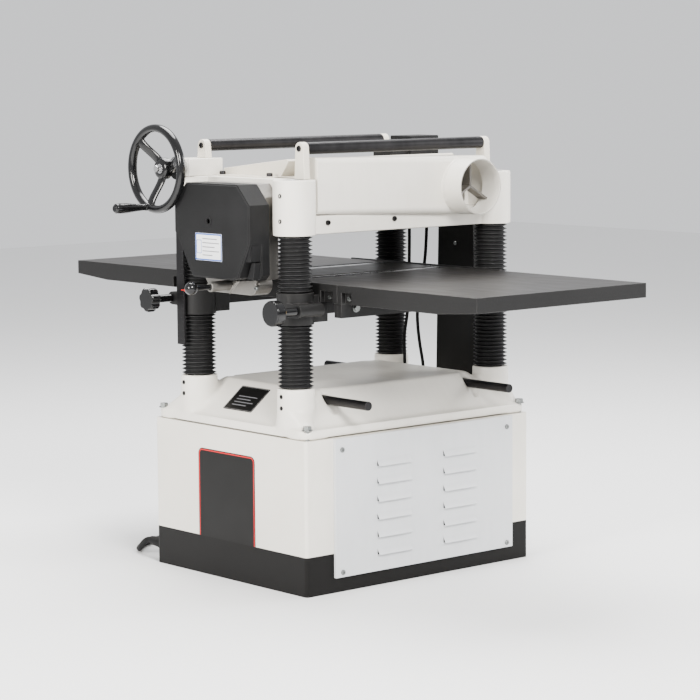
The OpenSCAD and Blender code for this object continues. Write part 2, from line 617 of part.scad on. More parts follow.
module return_roller(y) color([0.22, 0.22, 0.23]) translate([0, y, roller_z]) {
  along_x(return_roller_d / 2, -lug_x + 0.5, lug_x - 0.5);
  along_x(6, -lug_x - 8, lug_x + 8);
}
module return_roller_front() return_roller(column_y[0]);
module return_roller_rear() return_roller(column_y[1]);

// Dust hood: a chute that widens towards the left, where the round port is
hood_x = wall_x - 14;
hood_near = [beam_y[1] + 8, head_z + 44, head_top + 47];
hood_far = [beam_y[1] + 27, head_z + 24, head_top + 38];
port_x = -hood_x + port_d / 2 + 12;
port_z = head_z + 92;
port_y = beam_y[1] + 82;
port_l = 54;            // free length of the port past its shoulder
module hood_slice(x, y0, y1, z0, z1, r) yz_extrude(x, x + 1) translate([(y0 + y1) / 2, (z0 + z1) / 2])
  rounded_rect((y1 - y0) / 2, (z1 - z0) / 2, r, $fn = 32);
// The chute's outline, d inside its skin
module hood_body(d) hull() {
  hood_slice(hood_x - 1 - d, hood_back + d, hood_near[0] - d, hood_near[1] + d, hood_near[2] - d, 12);
  hood_slice(-hood_x + d, hood_back + d, hood_far[0] - d, hood_far[1] + d, hood_far[2] - d, 20);
}
hood_back = beam_y[1] - 40;
hood_t = 3;
module dust_hood() color("ghostwhite") difference() {
  union() {
    hood_body(0);
    translate([port_x, 0, port_z]) along_y(port_d / 2, beam_y[1] + 2, port_y);
    translate([port_x, 0, port_z]) along_y(port_d / 2 + 1.5, beam_y[1] + 2, port_y - port_l);
  }
  difference() {
    hood_body(hood_t);
    block([-hood_x - 1, hood_x + 1], [hood_back - 1, beam_y[1] + 0.5 + hood_t], [head_z, head_z + beam_h + 1 + hood_t]);
  }
  // notch that sits over the rear beam
  block([-hood_x - 2, hood_x + 2], [hood_back - 2, beam_y[1] + 0.5], [head_z - 1, head_z + beam_h + 1]);
  translate([port_x, 0, port_z]) along_y(port_d / 2 - hood_t, beam_y[1] + 8, port_y + 1);
  // throat towards the cutterhead
  block([-hood_x + 12, hood_x - 12], [hood_back - 1, hood_back + 10], [head_z + beam_h + 12, head_top + 20]);
}

// ---------- cutterhead and feed ----------
chip_y = mid_y - 62;
chip_z = head_top - 22;
finger_y = beam_y[0] + 12;
finger_z = head_z + 46;
cutter_l = 2 * wall_x - 8;
module cutterhead() color("steelblue") translate([0, mid_y, cutter_z]) {
  difference() {
    along_x(cutter_d / 2 - 1, -cutter_l / 2, cutter_l / 2);
    for (a = [0 : 90 : 359]) rotate([a, 0, 0])
      block([-cutter_l / 2 - 1, cutter_l / 2 + 1], [-3, 14], [cutter_d / 2 - 12, cutter_d / 2 + 2]);
  }
  for (a = [0 : 90 : 359]) rotate([a, 0, 0])
    block([-cutter_l / 2, cutter_l / 2], [-3, 0], [cutter_d / 2 - 12, cutter_d / 2]);
  along_x(16, -wall_x - wall_t - 4, wall_x + wall_t);
  along_x(14, pulley_x - pulley_t / 2, -wall_x - wall_t - 4);
  grooved_pulley(cutter_pulley_r);
}
module feed_roller(y, teeth) translate([0, y, feed_z]) {
  difference() {
    along_x(feed_roller_d / 2, -cutter_l / 2, cutter_l / 2);
    for (a = [0 : 360 / max(teeth, 1) : 359]) if (teeth > 0) rotate([a, 0, 0])
      block([-cutter_l / 2 - 1, cutter_l / 2 + 1], [-1.5, 1.5], [feed_roller_d / 2 - 3, feed_roller_d / 2 + 1]);
  }
  along_x(12, -wall_x - wall_t + 4, wall_x + wall_t - 6);
}
module infeed_roller() color("slategray") feed_roller(feed_y[0], 24);
module outfeed_roller() color("slategray") feed_roller(feed_y[1], 0);
module chip_breaker() color("gray") {
  yz_extrude(-cutter_l / 2, cutter_l / 2) polygon([
    [chip_y - 5, chip_z], [chip_y + 5, chip_z], [chip_y + 9, cutter_z + 8], [chip_y + 14, cut_z + 8],
    [chip_y + 14, cut_z + 1], [chip_y + 8, cut_z + 1], [chip_y + 1, cutter_z + 8]
  ]);
  translate([0, chip_y, chip_z]) along_x(6, -wall_x - 11, wall_x + 11);
}
finger_n = 22;
finger_l = 2 * wall_x - 36;
finger_pitch = finger_l / finger_n;
module kickback_fingers() color("dimgray") {
  for (i = [0 : finger_n - 1]) translate([-finger_l / 2 + (i + 0.5) * finger_pitch - 4, 0, 0]) yz_extrude(0, 8)
    translate([finger_y, finger_z]) polygon([[-7, 7], [7, 7], [8, -20], [2, -46], [-3, -46], [-7, -20]]);
  translate([0, finger_y, finger_z]) along_x(5, -wall_x - 5, wall_x + 5);
}

// ---------- gearbox ----------
module gear_outline() polygon([
  [cover_y[0], cover_z[1] - 44], [cover_y[0] + 42, cover_z[1]], [cover_y[1] - 42, cover_z[1]],
  [cover_y[1], cover_z[1] - 44], [cover_y[1], cover_z[0] + 12], [cover_y[1] - 12, cover_z[0]],
  [cover_y[0] + 60, cover_z[0]], [cover_y[0] + 17, cover_z[0] + 78], [cover_y[0], cover_z[0] + 98]
]);
module face_outline() polygon([
  [cover_y[0], cover_z[1] - 44], [cover_y[0] + 42, cover_z[1]], [cover_y[1] - 42, cover_z[1]],
  [cover_y[1], cover_z[1] - 44], [cover_y[1], cover_z[0] + 82], [cover_y[1] - 39, cover_z[0] + 6],
  [cover_y[1] - 60, cover_z[0]], [cover_y[0] + 64, cover_z[0]], [cover_y[0] + 55, cover_z[0] + 12],
  [cover_y[0] + 17, cover_z[0] + 78], [cover_y[0], cover_z[0] + 98]
]);
module gearbox_cover() color([0.1, 0.1, 0.11]) difference() {
  union() {
    yz_extrude(gear_x + 0.2, gear_x + 22) gear_outline();
    yz_extrude(gear_x + 21, cover_x - 3) face_outline();
    yz_extrude(cover_x - 3.01, cover_x) offset(delta = -3) face_outline();
    // stepped pads on the lower rear corner
    yz_extrude(gear_x + 21, gear_x + 40) polygon([[cover_y[1] - 30, cover_z[0] + 4], [cover_y[1] - 8, cover_z[0] + 4],
      [cover_y[1] - 3, cover_z[0] + 40], [cover_y[1] - 14, cover_z[0] + 40]]);
    yz_extrude(gear_x + 21, gear_x + 50) polygon([[cover_y[1] - 28, cover_z[0] + 42], [cover_y[1] - 6, cover_z[0] + 42],
      [cover_y[1] - 1, cover_z[0] + 80], [cover_y[1] - 8, cover_z[0] + 80]]);
  }
  yz_extrude(gear_x - 1, gear_x + 54) offset(delta = -4) face_outline();
  translate([0, cover_y[0] + 125, cutter_z - 8]) along_x(6, gear_x, cover_x + 1);
}
module gearbox_casting() color("lightgray") difference() {
  union() {
    yz_extrude(wall_x + wall_t + 0.01, gear_x) intersection() {
      gear_outline();
      translate([column_y[0] + socket_r + 3, gear_low_z]) square([column_gap_y - head_socket_d - 6, 400]);
    }
    yz_extrude(wall_x + wall_t + 0.01, gear_x + 8) hull() {
      translate([cover_y[0] + 86, gear_low_z + 34]) circle(34);
      translate([cover_y[1] - 60, gear_low_z + 24]) circle(24);
      translate([mid_y, cover_z[0] - 2]) square([170, 4], center = true);
    }
    translate([0, lever_y, lever_z]) along_x(11, gear_x, lever_boss_x);
    // stiffening rib across the low part
    translate([gear_x + 8, cover_y[0] + 150, gear_low_z + 16])
      yz_extrude(-0.01, 4) rotate(-48) square([6, 42], center = true);
  }
  translate([0, lever_y, lever_z]) along_x(6 + run_fit, gear_x - 30, lever_boss_x + 1);
  // kept below the cover
  block([gear_x, gear_x + 9], cover_y, [cover_z[0] - 0.5, cover_z[1]]);
  for (p = [[cover_y[0] + 70, gear_low_z + 17], [cover_y[1] - 36, gear_low_z + 26]])
    translate([0, p[0], p[1]]) along_x(3.5, gear_x, gear_x + 9);
  translate([0, mid_y, cutter_z]) along_x(20, wall_x, gear_x - 6);
  for (y = feed_y) translate([0, y, feed_z]) along_x(14, wall_x, wall_x + wall_t + 2);
}
lever_boss_x = gear_x + 67;
module shift_lever() color([0.08, 0.08, 0.08]) translate([0, lever_y, lever_z]) {
  along_x(6, gear_x - 8, lever_boss_x + 40);
  translate([lever_boss_x + 51, 0, 0]) sphere(14.5);
}
module height_scale() color([0.25, 0.25, 0.26]) difference() {
  block([gear_x + 6.01, gear_x + 10.4], [column_y[0] - 13, column_y[0] + 13], [head_z - 262, head_z + 40]);
  for (i = [0 : 20]) translate([0, column_y[0] + 12.6, head_z - 250 + i * 10])
    block([gear_x + 10, gear_x + 11], [-(i % 5 == 0 ? 12 : 7), 0.5], [-0.4, 0.4]);
}

// ---------- handwheel ----------
module handwheel_shaft() color("silver") translate([0, wheel_y, shaft_z]) {
  along_x(shaft_r, column_x + bevel_r - bevel_t, wheel_x + 2);
  translate([column_x + bevel_r + gap, 0, 0]) rotate([0, -90, 0]) cylinder(r1 = bevel_r, r2 = bevel_r - bevel_t, h = bevel_t);
  difference() {
    along_x(27, column_x + socket_r + 0.5, column_x + socket_r + 6);
    along_x(20, column_x + socket_r + 4, column_x + socket_r + 7);
  }
  along_x(5, wheel_x + 2, wheel_x + 9);
  translate([wheel_x + 7, 0, 0]) rotate([0, 90, 0]) hex_bolt(14, 6);
}
module handwheel() color([0.05, 0.05, 0.05]) translate([0, wheel_y, shaft_z]) difference() {
  union() {
    translate([wheel_x, 0, 0]) rotate([0, 90, 0]) rotate_extrude($fn = 96)
      translate([wheel_d / 2 - rim_w, 0]) translate([rim_w / 2, rim_t / 2]) rounded_rect(rim_w / 2, rim_t / 2, 7);
    along_x(hub_d / 2, wheel_x - 22, wheel_x + 2);
    for (a = spoke_angles) rotate([a, 0, 0]) block([wheel_x - 2, wheel_x + 6], [14, wheel_d / 2 - rim_w + 3], [-11, 11]);
    along_x_at(handle_r, handle_angle) along_x(8, wheel_x + 4, wheel_x + rim_t + 3);
  }
  along_x(shaft_r + seat, wheel_x - 30, wheel_x + 10);
  along_x_at(handle_r, handle_angle) along_x(4 + run_fit, wheel_x + 2, wheel_x + rim_t + 4);
}
// A place on the wheel's face, at a radius and an angle from +Y towards +Z
module along_x_at(r, a) translate([0, r * cos(a), r * sin(a)]) children();
module handwheel_handle() color([0.05, 0.05, 0.05]) translate([0, wheel_y, shaft_z]) along_x_at(handle_r, handle_angle) {
  along_x(4, wheel_x + 4, wheel_x + rim_t + 4);
  translate([wheel_x + rim_t + 3.5, 0, 0]) rotate([0, 90, 0]) rotate_extrude() polygon([
    [0, 0], [7, 0], [7.5, 10], [9, 30], [11.5, 52], [12, 70], [11, 80], [7, 84], [0, 84]
  ]);
}

// ---------- switch box, cables and mains cord ----------
box_x = [-wall_x + 16, -wall_x + 104];
box_y = [mid_y - 20, mid_y + 52];
box_z = [head_top + 33, head_top + 82];
side_box_x = [box_x[1] + 0.01, box_x[1] + 54];
button_x = [box_x[0] + 24, box_x[0] + 64];
button_z = box_z[0] + 26;
module switch_box() color([0.09, 0.09, 0.1]) difference() {
  union() {
    block(box_x, box_y, box_z);
    block(side_box_x, [box_y[0], box_y[1] - 6], [box_z[0], box_z[0] + 20]);
    block([box_x[0] + 8, side_box_x[1] - 6], [box_y[0] + 8, box_y[1] - 8], [cover_top[0] + 3, box_z[0]]);
  }
  for (x = button_x) translate([x, 0, button_z]) along_y(11, box_y[0] - 1, box_y[0] + 14);
  // seated on the sloping cover
  yz_extrude(box_x[0] - 1, side_box_x[1] + 1) translate([0, 0.05]) cover_line();
}
module push_button(x, y0) translate([x, 0, button_z]) along_y(10, box_y[0] - y0, box_y[0] + 8);
module start_button() color("green") push_button(button_x[0], 3);
module stop_button() color("red") push_button(button_x[1], 7);

// A round lead along a list of points: one ring per point, eight sides
function unit(v) = v / norm(v);
function tangent(p, i) = unit(p[min(i + 1, len(p) - 1)] - p[max(i - 1, 0)]);
function side_of(t) = unit(cross(t, abs(t[2]) > 0.9 ? [1, 0, 0] : [0, 0, 1]));
module lead_tube(p, r, n = 8) {
  rings = [for (i = [0 : len(p) - 1]) let (t = tangent(p, i), u = side_of(t), v = cross(t, u))
    for (k = [0 : n - 1]) p[i] + r * (cos(k * 360 / n) * u + sin(k * 360 / n) * v)];
  last = (len(p) - 1) * n;
  polyhedron(points = rings, faces = concat(
    [[for (k = [0 : n - 1]) k]], [[for (k = [n - 1 : -1 : 0]) last + k]],
    [for (i = [0 : len(p) - 2], k = [0 : n - 1]) [i * n + k, (i + 1) * n + k, (i + 1) * n + (k + 1) % n, i * n + (k + 1) % n]]
  ));
}
// The two leads from the cabinet up to the head, as [Y, Z] points
cable_x = -(wall_x + wall_t - 6);
cable_points = [
  [[-36, base_socket_z - 64], [-42, base_socket_z - 13], [-52, 480], [-59, 522], [-60, 563], [-50, 615], [-34, 683],
   [-28, 740], [-26, head_z + 4]],
  [[-104, base_socket_z - 64], [-107, base_socket_z], [-107, 500], [-98, 545], [-91, 600], [-89, 680], [-88, 740],
   [-88, head_z + 4]]
];
module head_cables() color([0.06, 0.06, 0.06]) for (lead = cable_points)
  lead_tube([for (p = lead) [cable_x, p[0], p[1]]], 4);

module cord_gland() color([0.08, 0.08, 0.08]) translate([cord_x, 0, 42]) difference() {
  union() {
    along_y(16, -cab_y - 8, -cab_y - 0.01);
    translate([0, -cab_y - 8, 0]) rotate([90, 0, 0]) cylinder(r1 = 14, r2 = cord_r + 2.5, h = 44);
    along_y(10.5, -cab_y - 0.01, -cab_y + 16);
  }
  along_y(cord_r, -cab_y - 60, -cab_y - 40);
}
module mains_cord() color([0.07, 0.07, 0.07]) {
  lead_tube(cord_path, cord_r, 10);
  lead_tube(cord_tail, cord_r, 10);
}
module cord_coil() color([0.07, 0.07, 0.07]) translate([coil_c[0], coil_c[1], 0]) rotate_extrude()
  translate([coil_in, 0]) square([coil_out - coil_in, coil_t]);
module mains_plug() color([0.08, 0.08, 0.08]) translate([plug_x, 0, plug_r]) {
  along_y(plug_r, plug_y[0] + 14, plug_y[1]);
  translate([0, plug_y[0], 0]) rotate([-90, 0, 0]) cylinder(r1 = cord_r + 1.5, r2 = plug_r, h = 14.01);
  // three blades
  for (p = [[-6.4, 4], [6.4, 4], [0, -7]]) translate([p[0], 0, p[1]]) along_y(2.2, plug_y[1] - 0.01, plug_y[1] + 17);
}

// ---------- what is drawn ----------
cabinet_shell();
access_panel();
sheet_screws();
badge_plates();
base_casting();
base_bolts();
guide_columns();
motor();
motor_mount();
motor_pulley();
drive_belts();
belt_guard();
sync_chain();
lead_screw_front_right();
lead_screw_rear_right();
lead_screw_front_left();
lead_screw_rear_left();
lifting_bar_front_right();
lifting_bar_rear_right();
lifting_bar_front_left();
lifting_bar_rear_left();
table_casting();
infeed_extension();
outfeed_extension();
height_pointer();
lift_nuts();
bed_roller_front();
bed_roller_rear();
lock_knob_front();
lock_knob_rear();
lower_bellows();
upper_bellows();
head_casting();
head_cover();
head_bolts();
handwheel_bracket();
roller_lugs();
dust_hood();
cutterhead();
infeed_roller();
outfeed_roller();
chip_breaker();
kickback_fingers();
gearbox_casting();
gearbox_cover();
shift_lever();
height_scale();
handwheel_shaft();
handwheel();
handwheel_handle();
return_roller_front();
return_roller_rear();
switch_box();
start_button();
stop_button();
head_cables();
cord_gland();
mains_cord();
cord_coil();
mains_plug();
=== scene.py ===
import json
import math
import bmesh
import bpy
from mathutils import Matrix, Vector


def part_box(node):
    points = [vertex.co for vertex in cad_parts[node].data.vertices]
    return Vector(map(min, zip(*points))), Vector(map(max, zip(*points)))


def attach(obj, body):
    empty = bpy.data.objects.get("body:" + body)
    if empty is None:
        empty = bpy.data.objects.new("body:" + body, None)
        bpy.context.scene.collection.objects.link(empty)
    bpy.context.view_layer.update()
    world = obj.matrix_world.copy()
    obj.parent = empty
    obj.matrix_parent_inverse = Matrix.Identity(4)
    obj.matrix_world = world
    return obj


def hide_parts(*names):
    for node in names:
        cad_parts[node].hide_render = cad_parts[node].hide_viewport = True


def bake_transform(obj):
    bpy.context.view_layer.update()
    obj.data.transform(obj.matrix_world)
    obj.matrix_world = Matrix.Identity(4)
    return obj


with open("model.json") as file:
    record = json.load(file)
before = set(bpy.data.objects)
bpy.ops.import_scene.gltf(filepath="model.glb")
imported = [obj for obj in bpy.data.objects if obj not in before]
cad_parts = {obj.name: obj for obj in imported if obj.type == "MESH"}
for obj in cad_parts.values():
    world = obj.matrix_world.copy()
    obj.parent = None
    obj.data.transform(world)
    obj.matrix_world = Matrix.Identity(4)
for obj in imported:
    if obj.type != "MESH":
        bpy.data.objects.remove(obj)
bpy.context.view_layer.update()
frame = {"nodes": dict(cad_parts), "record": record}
nodes = frame["nodes"]
slotOf = {row["node"]: row["material_slot"] for row in frame["record"]["subparts"]}
bodies = frame["record"]["behaviour"]["bodies"]
bodyOf = {node: body for body, members in bodies.items() for node in members}
print("frame loaded")

# camera, floor and light
view = {"place": (3.728, 4.333, 1.155), "azimuth": 139.1, "pitch": 6.6, "roll": -0.4, "lens": 127.4}


def makeCamera():
    data = bpy.data.cameras.new("camera")
    data.lens = view["lens"]
    data.sensor_width = 36
    camera = bpy.data.objects.new("camera", data)
    turn = Matrix.Rotation(math.radians(view["azimuth"]), 4, "Z")
    turn = turn @ Matrix.Rotation(math.radians(90 - view["pitch"]), 4, "X")
    turn = turn @ Matrix.Rotation(math.radians(view["roll"]), 4, "Z")
    camera.matrix_world = Matrix.Translation(view["place"]) @ turn
    bpy.context.scene.collection.objects.link(camera)
    bpy.context.scene.camera = camera


makeCamera()

lights = [
    # name, place, size, watts, colour
    ("key", (1.6, 4.6, 3.4), 2.0, 560, (1, 0.985, 0.96)),
    ("side", (4.6, 0.6, 2.0), 1.6, 330, (1, 0.975, 0.93)),
    ("top", (-0.6, -0.8, 3.6), 2.6, 300, (1, 1, 1)),
    ("back", (-3.2, 1.4, 1.6), 1.4, 90, (1, 1, 1)),
]
lightAim = (0, 0, 0.55)
sky = {"colour": (0.94, 0.95, 0.97, 1), "strength": 1.05}


def makeLights():
    for name, place, size, watts, colour in lights:
        data = bpy.data.lights.new(name, "AREA")
        data.shape = "DISK"
        data.size = size
        data.energy = watts
        data.color = colour
        lamp = bpy.data.objects.new(name, data)
        lamp.location = place
        aim = Vector(lightAim) - Vector(place)
        lamp.rotation_euler = aim.to_track_quat("-Z", "Y").to_euler()
        bpy.context.scene.collection.objects.link(lamp)
    world = bpy.data.worlds.new("studio")
    world.use_nodes = True
    shader = world.node_tree.nodes["Background"]
    shader.inputs["Color"].default_value = sky["colour"]
    shader.inputs["Strength"].default_value = sky["strength"]
    bpy.context.scene.world = world


makeLights()


# small helpers
def newObject(name, mesh):
    made = bpy.data.objects.new(name, mesh)
    bpy.context.scene.collection.objects.link(made)
    return made


def meshObject(name, points, faces, smooth=True):
    mesh = bpy.data.meshes.new(name)
    mesh.from_pydata([tuple(p) for p in points], [], faces)
    shape = bmesh.new()
    shape.from_mesh(mesh)
    bmesh.ops.remove_doubles(shape, verts=shape.verts, dist=1e-6)
    bmesh.ops.recalc_face_normals(shape, faces=shape.faces)
    shape.to_mesh(mesh)
    shape.free()
    for face in mesh.polygons:
        face.use_smooth = smooth
    return newObject(name, mesh)


# the matrix that takes local Z to axis, at centre
def frameAt(centre, axis):
    turn = Vector(axis).to_track_quat("Z", "Y").to_matrix().to_4x4()
    return Matrix.Translation(centre) @ turn


# the walls between rows of points, each row one turn of that many steps
def wallFaces(rows, steps, closed=False):
    faces = []
    for row in range(rows if closed else rows - 1):
        under, over = row * steps, (row + 1) % rows * steps
        for step in range(steps):
            after = (step + 1) % steps
            faces.append((under + step, under + after, over + after, over + step))
    return faces


def sharpened(made, angle):
    made.data.set_sharp_from_angle(angle=math.radians(angle))
    return made


# turns an outline of (radius, height) round an axis; an open outline runs from the axis to the axis
def lathe(name, outline, centre, axis, steps=48, closed=False):
    place = frameAt(centre, axis)
    points = []
    for radius, height in outline:
        for step in range(steps):
            angle = 2 * math.pi * step / steps
            points.append(place @ Vector((radius * math.cos(angle), radius * math.sin(angle), height)))
    return sharpened(meshObject(name, points, wallFaces(len(outline), steps, closed)), 38)


# an oval tube along a path, with (across, along flat) half sizes for each point of the path
def tube(name, path, sizes, flat, sides=20):
    points = []
    flat = Vector(flat).normalized()
    for i, here in enumerate(path):
        along = Vector(path[min(i + 1, len(path) - 1)]) - Vector(path[max(i - 1, 0)])
        across = along.cross(flat).normalized()
        wide, deep = sizes[i]
        for side in range(sides):
            angle = 2 * math.pi * side / sides
            points.append(Vector(here) + across * wide * math.cos(angle) + flat * deep * math.sin(angle))
    ends = [tuple(range(sides)), tuple(range(len(points) - sides, len(points)))]
    return sharpened(meshObject(name, points, wallFaces(len(path), sides) + ends), 50)


# corners of a rounded rectangle round the origin, one turn
def roundedLoop(width, height, radius, steps=6):
    loop = []
    for turn, (sx, sy) in enumerate([(1, 1), (-1, 1), (-1, -1), (1, -1)]):
        for step in range(steps + 1):
            angle = math.radians(90 * turn + 90 * step / steps)
            x = sx * (width / 2 - radius) + radius * math.cos(angle)
            y = sy * (height / 2 - radius) + radius * math.sin(angle)
            loop.append((x, y))
    return loop


# a flat plate with the outline loop in its own (right, up) plane, standing proud along axis
def plate(name, centre, axis, up, loop, thick, hole=None):
    axis = Vector(axis).normalized()
    up = Vector(up).normalized()
    right = up.cross(axis)
    rings = [loop] if hole is None else [loop, hole]
    points = []
    for lift in (0, thick):
        for ring in rings:
            points += [Vector(centre) + right * x + up * y + axis * lift for x, y in ring]
    n = len(loop)
    half = n * len(rings)
    faces = []
    for ring in range(len(rings)):
        for i in range(n):
            a, b = ring * n + i, ring * n + (i + 1) % n
            faces.append((a, b, b + half, a + half))
    for base in (0, half):
        if hole is None:
            faces.append(tuple(range(base, base + n)))
        else:
            for i in range(n):
                a, b = base + i, base + (i + 1) % n
                faces.append((a, b, b + n, a + n))
    return meshObject(name, points, faces, smooth=False)


def soften(made, width, segments=2, angle=33):
    edge = made.modifiers.new("edge", "BEVEL")
    edge.width = width
    edge.segments = segments
    edge.limit_method = "ANGLE"
    edge.angle_limit = math.radians(angle)
    edge.use_clamp_overlap = False
    shade = made.modifiers.new("shade", "WEIGHTED_NORMAL")
    shade.keep_sharp = False
    for face in made.data.polygons:
        face.use_smooth = True


# a copy of a CAD node's mesh with its doubled points joined and no material
def cleanCopy(node, flatten):
    mesh = nodes[node].data.copy()
    shape = bmesh.new()
    shape.from_mesh(mesh)
    bmesh.ops.remove_doubles(shape, verts=shape.verts, dist=2e-6)
    if flatten:
        limit = math.radians(0.8)
        bmesh.ops.dissolve_limit(shape, angle_limit=limit, verts=shape.verts, edges=shape.edges)
    shape.to_mesh(mesh)
    shape.free()
    mesh.materials.clear()
    return mesh


# stands for a CAD node, with softened edges
def finishOf(node, width, flatten):
    made = newObject(node + "_finish", cleanCopy(node, flatten))
    soften(made, width)
    return dress(made, bodyOf[node], slotOf[node], node)


# stands for a CAD casting, with the soft corners that a sand mould leaves and bored clean afterwards;
# each bore is (centre, axis, radius, length)
def castOf(node, grain, rounds, bores=()):
    rough = newObject(node + "_rough", cleanCopy(node, False))
    cast = rough.modifiers.new("cast", "REMESH")
    cast.mode = "VOXEL"
    cast.voxel_size = grain
    soft = rough.modifiers.new("soft", "SMOOTH")
    soft.factor = 0.5
    soft.iterations = rounds
    drills = []
    for centre, axis, radius, length in bores:
        outline = [(0, -length / 2), (radius, -length / 2), (radius, length / 2), (0, length / 2)]
        drills.append(lathe("drill", outline, centre, axis, 40))
        cut = rough.modifiers.new("bore", "BOOLEAN")
        cut.object = drills[-1]
        cut.operation = "DIFFERENCE"
        cut.solver = "EXACT"
    graph = bpy.context.evaluated_depsgraph_get()
    made = newObject(node + "_finish", bpy.data.meshes.new_from_object(rough.evaluated_get(graph)))
    for spent in [rough, *drills]:
        bpy.data.objects.remove(spent)
    for face in made.data.polygons:
        face.use_smooth = True
    return dress(sharpened(made, 42), bodyOf[node], slotOf[node], node)


# gives a piece its material and the body that it moves with, and hides the CAD nodes it stands for
def dress(made, body, slot, *stoodFor):
    made.data.materials.clear()
    made.data.materials.append(materials[slot])
    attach(made, body)
    if stoodFor:
        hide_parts(*stoodFor)
    return made


# shader helpers
def add(tree, kind, links=None, **settings):
    made = tree.nodes.new(kind)
    for key, value in settings.items():
        setattr(made, key, value)
    for key, value in (links or {}).items():
        if isinstance(value, bpy.types.NodeSocket):
            tree.links.new(value, made.inputs[key])
        else:
            made.inputs[key].default_value = value
    return made


def sums(tree, operation, first, second=0.0, clamp=False):
    made = add(tree, "ShaderNodeMath", {0: first, 1: second}, operation=operation, use_clamp=clamp)
    return made.outputs[0]


def mixed(tree, factor, first, second):
    made = add(tree, "ShaderNodeMix", {0: factor, 6: first, 7: second}, data_type="RGBA")
    return made.outputs[2]


def between(tree, value, low, high, lowTo=0.0, highTo=1.0):
    made = add(tree, "ShaderNodeMapRange", {0: value, 1: low, 2: high, 3: lowTo, 4: highTo})
    return made.outputs[0]


def noise(tree, place, scale, detail=3.0, roughness=0.5):
    made = add(tree, "ShaderNodeTexNoise", {
        "Vector": place, "Scale": scale, "Detail": detail, "Roughness": roughness})
    return made.outputs[0]


def bumped(tree, strength, distance, height):
    made = add(tree, "ShaderNodeBump", {"Strength": strength, "Distance": distance, "Height": height})
    return made.outputs[0]


def facing(tree):
    return add(tree, "ShaderNodeNewGeometry").outputs["Normal"]


def heightOf(tree, vector):
    return add(tree, "ShaderNodeSeparateXYZ", {0: vector}).outputs[2]


# the share of one value and the rest of another
def shared(tree, first, share, second):
    part = sums(tree, "MULTIPLY", first, share)
    rest = sums(tree, "MULTIPLY", second, round(1 - share, 3))
    return sums(tree, "ADD", part, rest)


def stretched(tree, place, scale):
    return add(tree, "ShaderNodeMapping", {"Vector": place, "Scale": scale}).outputs[0]


def newGroup(name, inputs, outputs):
    tree = bpy.data.node_groups.new(name, "ShaderNodeTree")
    for label, value in inputs.items():
        kind = "NodeSocketFloat" if isinstance(value, float) else "NodeSocketVector"
        socket = tree.interface.new_socket(label, in_out="INPUT", socket_type=kind)
        if isinstance(value, float):
            socket.default_value = value
    for label, kind in outputs.items():
        tree.interface.new_socket(label, in_out="OUTPUT", socket_type=kind)
    return tree, tree.nodes.new("NodeGroupInput").outputs, tree.nodes.new("NodeGroupOutput")


edgeLook = {"turned": (0.995, 0.93), "patchScale": 38.0, "patches": (0.42, 0.62)}


# mask of the outer edges, broken up by noise: edge wear on paint and metal, and a painted highlight along the
# edges of the black moulding
def makeEdgeGroup():
    tree, given, out = newGroup("edgeWearAndHighlight", {"Place": (0, 0, 0), "Radius": 0.0012, "Reach": 0.5}, {
        "Mask": "NodeSocketFloat"})
    rounded = add(tree, "ShaderNodeBevel", {"Radius": given["Radius"]}, samples=4).outputs[0]
    agree = add(tree, "ShaderNodeVectorMath", {0: rounded, 1: facing(tree)}, operation="DOT_PRODUCT")
    turned = between(tree, agree.outputs["Value"], *edgeLook["turned"])
    broken = noise(tree, given["Place"], edgeLook["patchScale"], 5.0, 0.7)
    patchy = sums(tree, "MULTIPLY", turned, between(tree, broken, *edgeLook["patches"]))
    tree.links.new(sums(tree, "MULTIPLY", patchy, given["Reach"], True), out.inputs["Mask"])
    return tree


grainLook = {"finer": 3.1, "coarseShare": 0.7, "distance": 0.0008}


# fine skin of paint or moulded plastic: a height and its normal
def makeGrainGroup():
    tree, given, out = newGroup("skinGrain", {"Place": (0, 0, 0), "Scale": 300.0, "Depth": 0.1}, {
        "Normal": "NodeSocketVector", "Height": "NodeSocketFloat"})
    coarse = noise(tree, given["Place"], given["Scale"], 2.0, 0.45)
    fine = noise(tree, given["Place"], sums(tree, "MULTIPLY", given["Scale"], grainLook["finer"]), 2.0, 0.6)
    height = shared(tree, coarse, grainLook["coarseShare"], fine)
    tree.links.new(bumped(tree, given["Depth"], grainLook["distance"], height), out.inputs["Normal"])
    tree.links.new(height, out.inputs["Height"])
    return tree


dustLook = {"upward": (0.35, 0.95), "patchScale": 14.0, "patches": (0.3, 0.75)}


# dust that settles on what faces up, thicker in patches
def makeDustGroup():
    tree, given, out = newGroup("settledDust", {"Place": (0, 0, 0), "Amount": 0.3}, {
        "Mask": "NodeSocketFloat"})
    lies = between(tree, heightOf(tree, facing(tree)), *dustLook["upward"])
    broken = noise(tree, given["Place"], dustLook["patchScale"], 6.0, 0.65)
    patchy = sums(tree, "MULTIPLY", lies, between(tree, broken, *dustLook["patches"]))
    tree.links.new(sums(tree, "MULTIPLY", patchy, given["Amount"], True), out.inputs["Mask"])
    return tree


smudgeLook = {"wipe": (60, 9, 14), "broadShare": 0.65}


# slow changes in gloss and tone, as handling and cleaning leave
def makeSmudgeGroup():
    tree, given, out = newGroup("handling", {"Place": (0, 0, 0), "Scale": 7.0}, {"Value": "NodeSocketFloat"})
    broad = noise(tree, given["Place"], given["Scale"], 4.0, 0.6)
    wiped = noise(tree, stretched(tree, given["Place"], smudgeLook["wipe"]), 1.0, 3.0, 0.5)
    tree.links.new(shared(tree, broad, smudgeLook["broadShare"], wiped), out.inputs["Value"])
    return tree


# fine tool lines across one direction: a height and its normal
def makeMachinedGroup():
    tree, given, out = newGroup("toolLines", {"Place": (0, 0, 0), "Depth": 0.1}, {
        "Normal": "NodeSocketVector", "Height": "NodeSocketFloat"})
    lines = noise(tree, given["Place"], 1.0, 4.0, 0.7)
    tree.links.new(bumped(tree, given["Depth"], 0.0002, lines), out.inputs["Normal"])
    tree.links.new(lines, out.inputs["Height"])
    return tree


